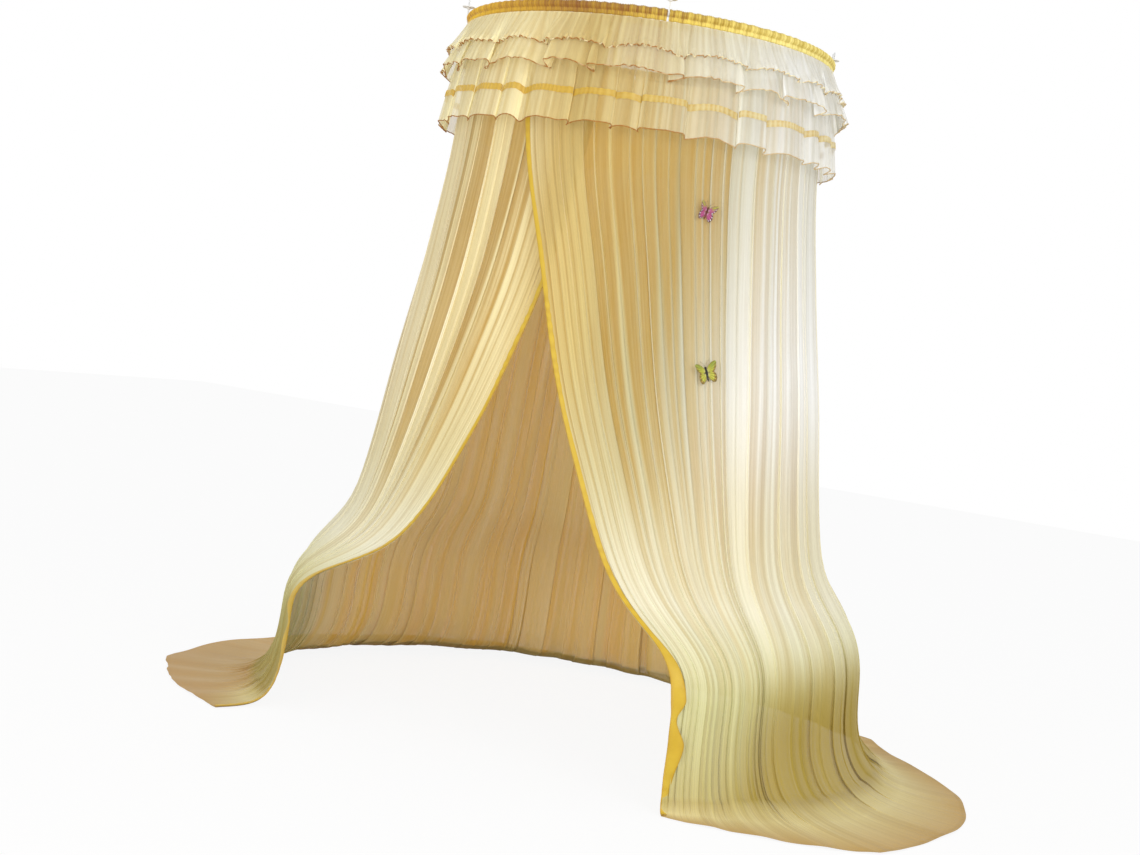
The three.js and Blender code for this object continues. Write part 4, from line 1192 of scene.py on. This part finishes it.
def bandLength(low, high):
    # The section goes down the outside and up the inside; its half width is read from the profile at each height.
    # Uneven gathers bulge the two rows between the stitches, fine ones run over them, and the edges wave.
    turn = np.linspace(low, high, band["columns"])
    one = np.linspace(0, 1, band["rows"])
    loop = np.concatenate([one, one[::-1][1:-1]])[:, None]
    side = np.where(np.arange(len(loop)) < band["rows"], 1.0, -1.0)[:, None]
    angle = np.radians(turn)
    wander = waves(angle, band["wander"])
    half, beside, atEdge = band["stitched"]
    lower = smoothStep(band["stitch"] - half, band["stitch"] + half, loop)
    gathers = band["gathers"] * angle
    coarse = 0.5 + 0.5 * np.cos(gathers + wander + 0.8 * lower)
    medium = 0.5 + 0.5 * np.cos(2.63 * gathers + 2 * wander - 1.3 * lower)
    fine = np.cos(5.9 * gathers + 3 * wander + 2 * lower)
    fromEdge = np.minimum(loop, 1 - loop) / atEdge
    held = np.clip(np.minimum(np.abs(loop - band["stitch"]) / beside, fromEdge), 0, 1)
    broad, narrow = (least + (1 - least) * held for least in band["least"])
    bulge = band["coarse"] * (coarse + 0.6 * medium - band["offset"]) * broad + band["fine"] * fine * narrow
    radius = crown["hoopRadius"] + side * (eased(loop, band["down"], band["half"]) + bulge)
    edge = (np.abs(loop - 0.5) * 2) ** 4
    wave = edge * (band["edgeWave"] * (coarse - 0.5) + band["fine"] * fine)
    # Painted shade in the hollows of the gathers and by the stitching, less on the lower row
    dark = np.stack(np.broadcast_arrays(1 - coarse, 1 - medium, -fine, 1 - held, 1, -lower), -1)
    valley = dark @ np.array(band["tint"])
    points = polar(turn[None], radius, crown["bandTop"] - crown["bandHeight"] * loop + wave)
    return points, crown["hoopRadius"] * angle, np.clip(valley, 0, 1)


def makeBand():
    # Four lengths from hook to hook
    gap = math.degrees(band["hookGap"] / 2 / crown["hoopRadius"])
    along = np.linspace(0, 2 * crown["bandHeight"], 2 * band["rows"] - 2)
    for k, turn in enumerate(crown["hookTurns"]):
        points, across, valley = bandLength(turn + gap, turn + fullTurn / 4 - gap)
        name = f"gathered_band_{k + 1}"
        piece = gridMesh(
            "ruched_" + name, points, (bandSatin, "gold_band"), "crown", tube=True,
            across=across, along=along, values={"valley": valley}
        )
        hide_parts(name)


makeBand()
print("band made")


# Heading tape that all the cloth is sewn to: woven, a little drawn in by its stitches

tape = {
    "middle": 0.650, "width": 0.020, "thick": 0.00075, "columns": 900, "draws": 230, "drawn": (0.0004, 0.0003),
    "section": ((1, 1), (1, 0.5), (1, 0), (1, -0.5), (1, -1), (-1, -1), (-1, -0.5), (-1, 0), (-1, 0.5), (-1, 1)),
    "flat": (4.1, 0.020),
}


def makeTape():
    # A flat loop of a section, carried round; the gathers pull its edges up and down and press its face
    turn = np.linspace(0, lap, tape["columns"], endpoint=False)[None]
    out, up = np.array(tape["section"]).T[..., None]
    draw = np.cos(tape["draws"] * turn + 2 * np.sin(11 * turn))
    face, edge = tape["drawn"]
    radius = tape["middle"] + tape["thick"] * out + face * draw * (1 - up * up)
    height = crown["netTop"] - tape["width"] / 2 * (1 - up) + edge * up * draw
    along = np.arange(len(out)) * tape["width"] / 4
    piece = gridMesh(
        "woven_heading_tape", polar(np.degrees(turn), radius, height), (tapeCloth, "heading_tape"), "crown",
        around=True, tube=True, across=turn[0] * tape["middle"], along=along
    )
    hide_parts("heading_tape")


makeTape()
print("tape made")


# Butterflies: each stands where the magnets and the body of its CAD nodes are

insects = {
    "upper": {
        "half": 0.034, "slot": "pink_wing", "body": (0.10, 0.016, 0.016),
        "ground": (0.46, 0.07, 0.22), "inner": (0.74, 0.42, 0.52), "tip": (0.42, 0.43, 0.03),
        "vein": (0.085, 0.012, 0.025), "rim": (0.80, 0.82, 0.76),
    },
    "lower": {
        "half": 0.040, "slot": "green_wing", "body": (0.020, 0.016, 0.012),
        "ground": (0.50, 0.50, 0.045), "inner": (0.72, 0.70, 0.26), "tip": (0.28, 0.36, 0.03),
        "vein": (0.15, 0.085, 0.012), "rim": (0.52, 0.34, 0.06),
    },
}
wings = {
    # In shares of half the span: first point of the margin, then two handles and the end of each curve
    "fore": {
        "margin": ((0.09, 0.30), ((0.3, 0.85, 0.75, 1.02, 1.0, 0.92), (1.02, 0.55, 0.85, 0.2, 0.55, 0.06))),
        "root": (0.03, 0.20), "rise": 30.0, "below": 0.0, "veins": 7.0, "tip": 1.0,
    },
    "hind": {
        "margin": ((0.60, 0.14), ((0.82, -0.05, 0.86, -0.5, 0.62, -0.72), (0.45, -0.86, 0.2, -0.55, 0.09, -0.2))),
        "root": (0.03, 0.05), "rise": 25.0, "below": 0.0007, "veins": 6.0, "tip": 0.0,
    },
}
leaf = {
    "marginPoints": 24,  # of each curve
    "reachRows": 12,
    "thick": 0.00035,
    "camber": 0.05,
    "scallop": 0.018,
    "ripple": 0.01,
    "thinning": 0.6,  # towards the margin
    "edgeCamber": 0.4,  # share of the camber that the front and rear edges keep
    "tip": (0.45, 0.22),  # where the tip's colour lies along the margin, and how far it spreads
}
bodyShape = {
    "along": (-0.62, -0.56, -0.4, -0.05, 0.1, 0.3, 0.38, 0.46, 0.52, 0.59, 0.62),
    "wide": (0.0, 0.42, 0.66, 0.92, 1.05, 0.95, 0.6, 0.74, 0.8, 0.5, 0.0),
    "radius": 0.112,  # fur included
    "raised": 0.027,
    "rings": 70,
    "sides": 18,
    "segments": 7.5,  # in a half span
    "groove": 0.12,
    "rear": (-0.1, 0.1),
    "feeler": ((0.03, 0.60), (0.10, 0.82), (0.24, 1.00), (0.36, 1.10)),
    "feelerRows": 24,
    "feelerRise": (0.12, 0.1),
    "feelerThick": (0.008, 0.014),  # its stem, and what the knob at its end adds
    "knob": (0.8, 0.93, 0.97, 1.0),
}


def wingFilm(insect):
    # Printed film: a ground that turns paler at the root and olive at the tip, dark veins, a dark margin with
    # pale spots between the veins
    def build(tree):
        reach, fan, tip = (stored(tree, name) for name in ("reach", "fan", "tip"))
        place = objectPlace(tree)
        dust, cloud = noise(tree, place, 700.0, 3.0), noise(tree, place, 160.0)
        beside = node(tree, "ShaderNodeMath", {"operation": "PINGPONG"}, [fan + (cloud - 0.5) * 0.12, 0.5])
        vein = 1 - stepBetween(tree, beside, 0.08, 0.18)
        margin = stepBetween(tree, reach + (cloud - 0.5) * 0.1, 0.74, 0.82)
        spot = stepBetween(tree, reach, 0.79, 0.83) * (1 - stepBetween(tree, reach, 0.92, 0.96))
        spot = (1 - tip) * stepBetween(tree, beside, 0.28, 0.36) * spot
        color = mixed(tree, stepBetween(tree, reach, 0.1, 0.4), insect["inner"], insect["ground"])
        color = mixed(tree, tip * stepBetween(tree, reach, 0.35, 0.6), color, insect["tip"])
        color = mixed(tree, (dust - 0.45) * 0.5, color, insect["inner"])
        color = mixed(tree, vein * 0.8 + margin * (1 - vein) * (1 - tip * 0.85), color, insect["vein"])
        return {
            "Base Color": mixed(tree, spot * (1 - vein), color, insect["rim"]),
            "Roughness": 0.4 + dust * 0.3,
            "Normal": bumped(tree, vein + dust * 0.3, 0.5, 0.0004),
        }
    return build


def bodyFur(color):
    # Short fur: dark, with paler rings between the segments
    def build(tree):
        fur = noise(tree, objectPlace(tree), 1500.0, 4.0)
        pale = tuple(min(3.5 * c + 0.05, 1) for c in color)
        return {
            "Base Color": mixed(tree, stored(tree, "ring") * 0.5 + (fur - 0.5) * 0.6, color, pale),
            "Roughness": 0.7 + fur * 0.2,
            "Normal": bumped(tree, fur, 0.8, 0.0006),
            "Sheen Weight": 0.15,
        }
    return build


def pointsOf(nodeName):
    # The points of a CAD node as rows
    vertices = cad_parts[nodeName].data.vertices
    flat = np.empty(3 * len(vertices), np.float32)
    vertices.foreach_get("co", flat)
    return flat.reshape(-1, 3).astype(float)


def insectPlace(name):
    # Outwards from the rear magnet to the front one; headwards along the body's longest direction, upwards
    front, rear = (pointsOf(f"{name}_butterfly_{which}_magnet").mean(0) for which in ("front", "rear"))
    body = pointsOf(f"{name}_butterfly_body")
    outwards = (front - rear) / np.linalg.norm(front - rear)
    middle = (front + rear) / 2
    centre = middle + outwards * ((body.mean(0) - middle) @ outwards)
    headwards = np.linalg.svd(body - body.mean(0))[2][0]
    headwards *= np.sign(headwards[2])
    return centre, np.stack([np.cross(headwards, outwards), headwards, outwards])


def curvePoints(start, curves, count):
    # Points along cubic curves joined end to end
    t = np.linspace(0, 1, count)[:, None]
    found = [np.array([start])]
    for curve in curves:
        a, (b, c, d) = found[-1][-1], np.array(curve).reshape(3, 2)
        found.append((a * (1 - t) ** 3 + 3 * b * t * (1 - t) ** 2 + 3 * c * t * t * (1 - t) + d * t ** 3)[1:])
    return np.concatenate(found)


def wingLeaf(wing, half, side):
    # Straight from the root to the margin, as a thin closed leaf: out along its face and back along its rear. It is
    # cambered, ripples between its veins and rises outwards.
    margin, root = curvePoints(*wing["margin"], leaf["marginPoints"]), np.array(wing["root"])
    reach = np.linspace(0.0, 1.0, leaf["reachRows"])
    reach = np.concatenate([reach, reach[::-1]])[:, None]
    face = np.where(np.arange(len(reach)) < leaf["reachRows"], 1.0, -1.0)[:, None]
    fan = np.linspace(0, 1, len(margin))[None]
    veined, arched = np.cos(lap * wing["veins"] * fan), np.sin(np.pi * fan)
    wave = 1 + leaf["scallop"] * veined * reach ** 4
    x, y = ((root[k] + (margin[None, :, k] - root[k]) * reach * wave) * half for k in (0, 1))
    bowed = leaf["edgeCamber"] + (1 - leaf["edgeCamber"]) * arched
    z = half * (leaf["camber"] * np.sin(np.pi * reach) * bowed + leaf["ripple"] * veined * reach)
    z = z + face * leaf["thick"] * arched ** 0.3 * (1 - leaf["thinning"] * reach) - wing["below"]
    rise = math.radians(wing["rise"])
    x, z = x * math.cos(rise) - z * math.sin(rise), x * math.sin(rise) + z * math.cos(rise)
    at, spread = leaf["tip"]
    tip = np.exp(-(((fan - at) / spread) ** 2)) * wing["tip"]
    return np.stack([side * x, y, z], -1), {"reach": reach, "fan": fan * wing["veins"], "tip": tip}


def makeWings(name, insect, centre, axes, side, film):
    # A fore and a hind wing on one side; on the right the columns are turned round, so that the faces look outwards
    sideName = "right" if side > 0 else "left"
    for which, wing in wings.items():
        points, values = wingLeaf(wing, insect["half"], side)
        if side > 0:
            points, values = points[:, ::-1], {key: value[:, ::-1] for key, value in values.items()}
        wingName = f"{name}_butterfly_{sideName}_{which}wing"
        look = film, insect["slot"]
        piece = gridMesh(wingName, centre + points @ axes, look, "right_front", tube=True, values=values)
        if which == "fore":
            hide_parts(f"{name}_butterfly_{sideName}_wings")


def makeBody(name, insect, centre, axes, fur):
    # Turned about its long axis from head to rear; the rear half swells between its segments. Feelers end in knobs.
    half, look = insect["half"], (fur, "butterfly_body")
    along = np.linspace(bodyShape["along"][-1], bodyShape["along"][0], bodyShape["rings"])[:, None]
    ring = 0.5 - 0.5 * np.cos((along - bodyShape["along"][0]) * lap * bodyShape["segments"])
    groove = (1 - ring) * (1 - smoothStep(*bodyShape["rear"], along))
    wide = eased(along, bodyShape["along"], bodyShape["wide"]) * bodyShape["radius"]
    wide = wide * (1 - bodyShape["groove"] * groove)
    turn = np.linspace(0, lap, bodyShape["sides"], endpoint=False)
    local = np.stack([wide * np.cos(turn), along + 0 * turn, wide * np.sin(turn) + bodyShape["raised"]], -1) * half
    place = centre + local @ axes
    piece = gridMesh(
        f"{name}_butterfly_furred_body", place, look, "right_front", around=True, values={"ring": groove}
    )
    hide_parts(f"{name}_butterfly_body")
    knots = np.array(bodyShape["feeler"])
    t = np.linspace(0, 1, bodyShape["feelerRows"])
    x, y = (eased(t, np.linspace(0, 1, len(knots)), knots[:, k]) for k in (0, 1))
    (stem, knob), (slope, bend) = bodyShape["feelerThick"], bodyShape["feelerRise"]
    thin = half * (stem + knob * window(*bodyShape["knob"], t))
    for side, sideName in ((1, "right"), (-1, "left")):
        path = centre + np.stack([side * x, y, slope * t + bend * t * t], -1) * half @ axes
        feeler = f"{name}_butterfly_{sideName}_feeler"
        gridMesh(feeler, tubeAlong(path, thin, 6), look, "right_front", tube=True, values={"ring": 0.0})


def makeInsects():
    # Each with a film for its wings and a fur for its body
    for name, insect in insects.items():
        centre, axes = insectPlace(name)
        film = newMaterial(name + "_wing_film", wingFilm(insect))
        fur = newMaterial(name + "_body_fur", bodyFur(insect["body"]))
        for side in (1, -1):
            makeWings(name, insect, centre, axes, side, film)
        makeBody(name, insect, centre, axes, fur)


makeInsects()
print("butterflies made")


# Studio: pale floor, white surround, soft light, camera rolled as in the photograph

studio = {
    "camera": (2.96, -5.53, -1.127),
    "look": (-0.487, 0.876),
    "pitch": 2.88,
    "roll": 7.8,
    "lens": 54.6,
    "floorSize": 30.0,
    "world": 0.72,
    "floorGlow": 0.9,  # of what the camera sees of the floor
    "aim": (0, 0, -1.2),
    "lightSize": 3.5,
    "lights": {"key": ((5.5, -3.6, 1.2), 130.0), "fill": ((0.3, -7.0, -0.4), 110.0)},
}


def placed(name, data):
    # An object in the scene, made from a mesh, a camera or a light
    made = bpy.data.objects.new(name, data)
    bpy.context.collection.objects.link(made)
    return made


def makeCamera():
    # Looks along the plan's direction, pitched down, then rolled
    camera = placed("camera", bpy.data.cameras.new("camera"))
    camera.data.lens = studio["lens"]
    camera.data.sensor_width = 36
    camera.data.clip_end = 100
    pitch, roll = math.radians(studio["pitch"]), math.radians(studio["roll"])
    plan = Vector((*studio["look"], 0)).normalized()
    ahead = plan * math.cos(pitch) - Vector((0, 0, math.sin(pitch)))
    right = Vector((plan.y, -plan.x, 0))
    up = right.cross(ahead)
    rolledRight = right * math.cos(roll) + up * math.sin(roll)
    rolledUp = up * math.cos(roll) - right * math.sin(roll)
    matrix = Matrix((rolledRight, rolledUp, -ahead)).transposed().to_4x4()
    matrix.translation = Vector(studio["camera"])
    camera.matrix_world = matrix
    bpy.context.scene.camera = camera


def makeWorld():
    # Full white to the camera and in glossy reflections, dimmer as light
    world = bpy.data.worlds.new("studio")
    bpy.context.scene.world = world
    world.use_nodes = True
    tree = world.node_tree
    tree.nodes.clear()
    path = tree.nodes.new("ShaderNodeLightPath")
    seen = Sock(tree, path.outputs["Is Camera Ray"]) + Sock(tree, path.outputs["Is Glossy Ray"])
    seen = node(tree, "ShaderNodeMath", {"operation": "MINIMUM"}, [seen, 1.0])
    strength = studio["world"] + seen * (1 - studio["world"])
    back = node(tree, "ShaderNodeBackground", None, {"Color": (1.0, 1.0, 1.0), "Strength": strength})
    out = tree.nodes.new("ShaderNodeOutputWorld")
    tree.links.new(back.socket, out.inputs["Surface"])


def makeFloor():
    # One quad, matt, mostly glowing white to the camera so that only soft shade shows on it
    half = studio["floorSize"] / 2
    mesh = bpy.data.meshes.new("floor")
    corners = [(x, y, crown["floor"]) for x, y in ((-half, half), (-half, -half), (half, -half), (half, half))]
    mesh.from_pydata(corners, [], [(0, 1, 2, 3)])
    material = newMaterial("floor", lambda tree: {
        "Base Color": (0.9, 0.9, 0.9),
        "Roughness": 1.0,
        "Specular IOR Level": 0.0,
    })
    tree = material.node_tree
    glow = node(tree, "ShaderNodeEmission", None, {"Color": (1.0, 1.0, 1.0), "Strength": 1.0})
    shader = Sock(tree, tree.nodes["Principled BSDF"].outputs[0])
    path = tree.nodes.new("ShaderNodeLightPath")
    seen = Sock(tree, path.outputs["Is Camera Ray"]) * studio["floorGlow"]
    mix = node(tree, "ShaderNodeMixShader", None, [seen, shader, glow])
    tree.links.new(mix.socket, tree.nodes["Material Output"].inputs["Surface"])
    mesh.materials.append(material)
    placed("floor", mesh)


def makeLights():
    # Square lamps that face the net's middle
    for name, (place, power) in studio["lights"].items():
        light = placed(name, bpy.data.lights.new(name, "AREA"))
        light.data.size = studio["lightSize"]
        light.data.energy = power
        light.location = place
        aim = Vector(studio["aim"]) - Vector(place)
        light.rotation_euler = aim.to_track_quat("-Z", "Y").to_euler()


bpy.context.scene.view_settings.view_transform = "Standard"
makeCamera()
makeWorld()
makeFloor()
makeLights()
print("studio made")
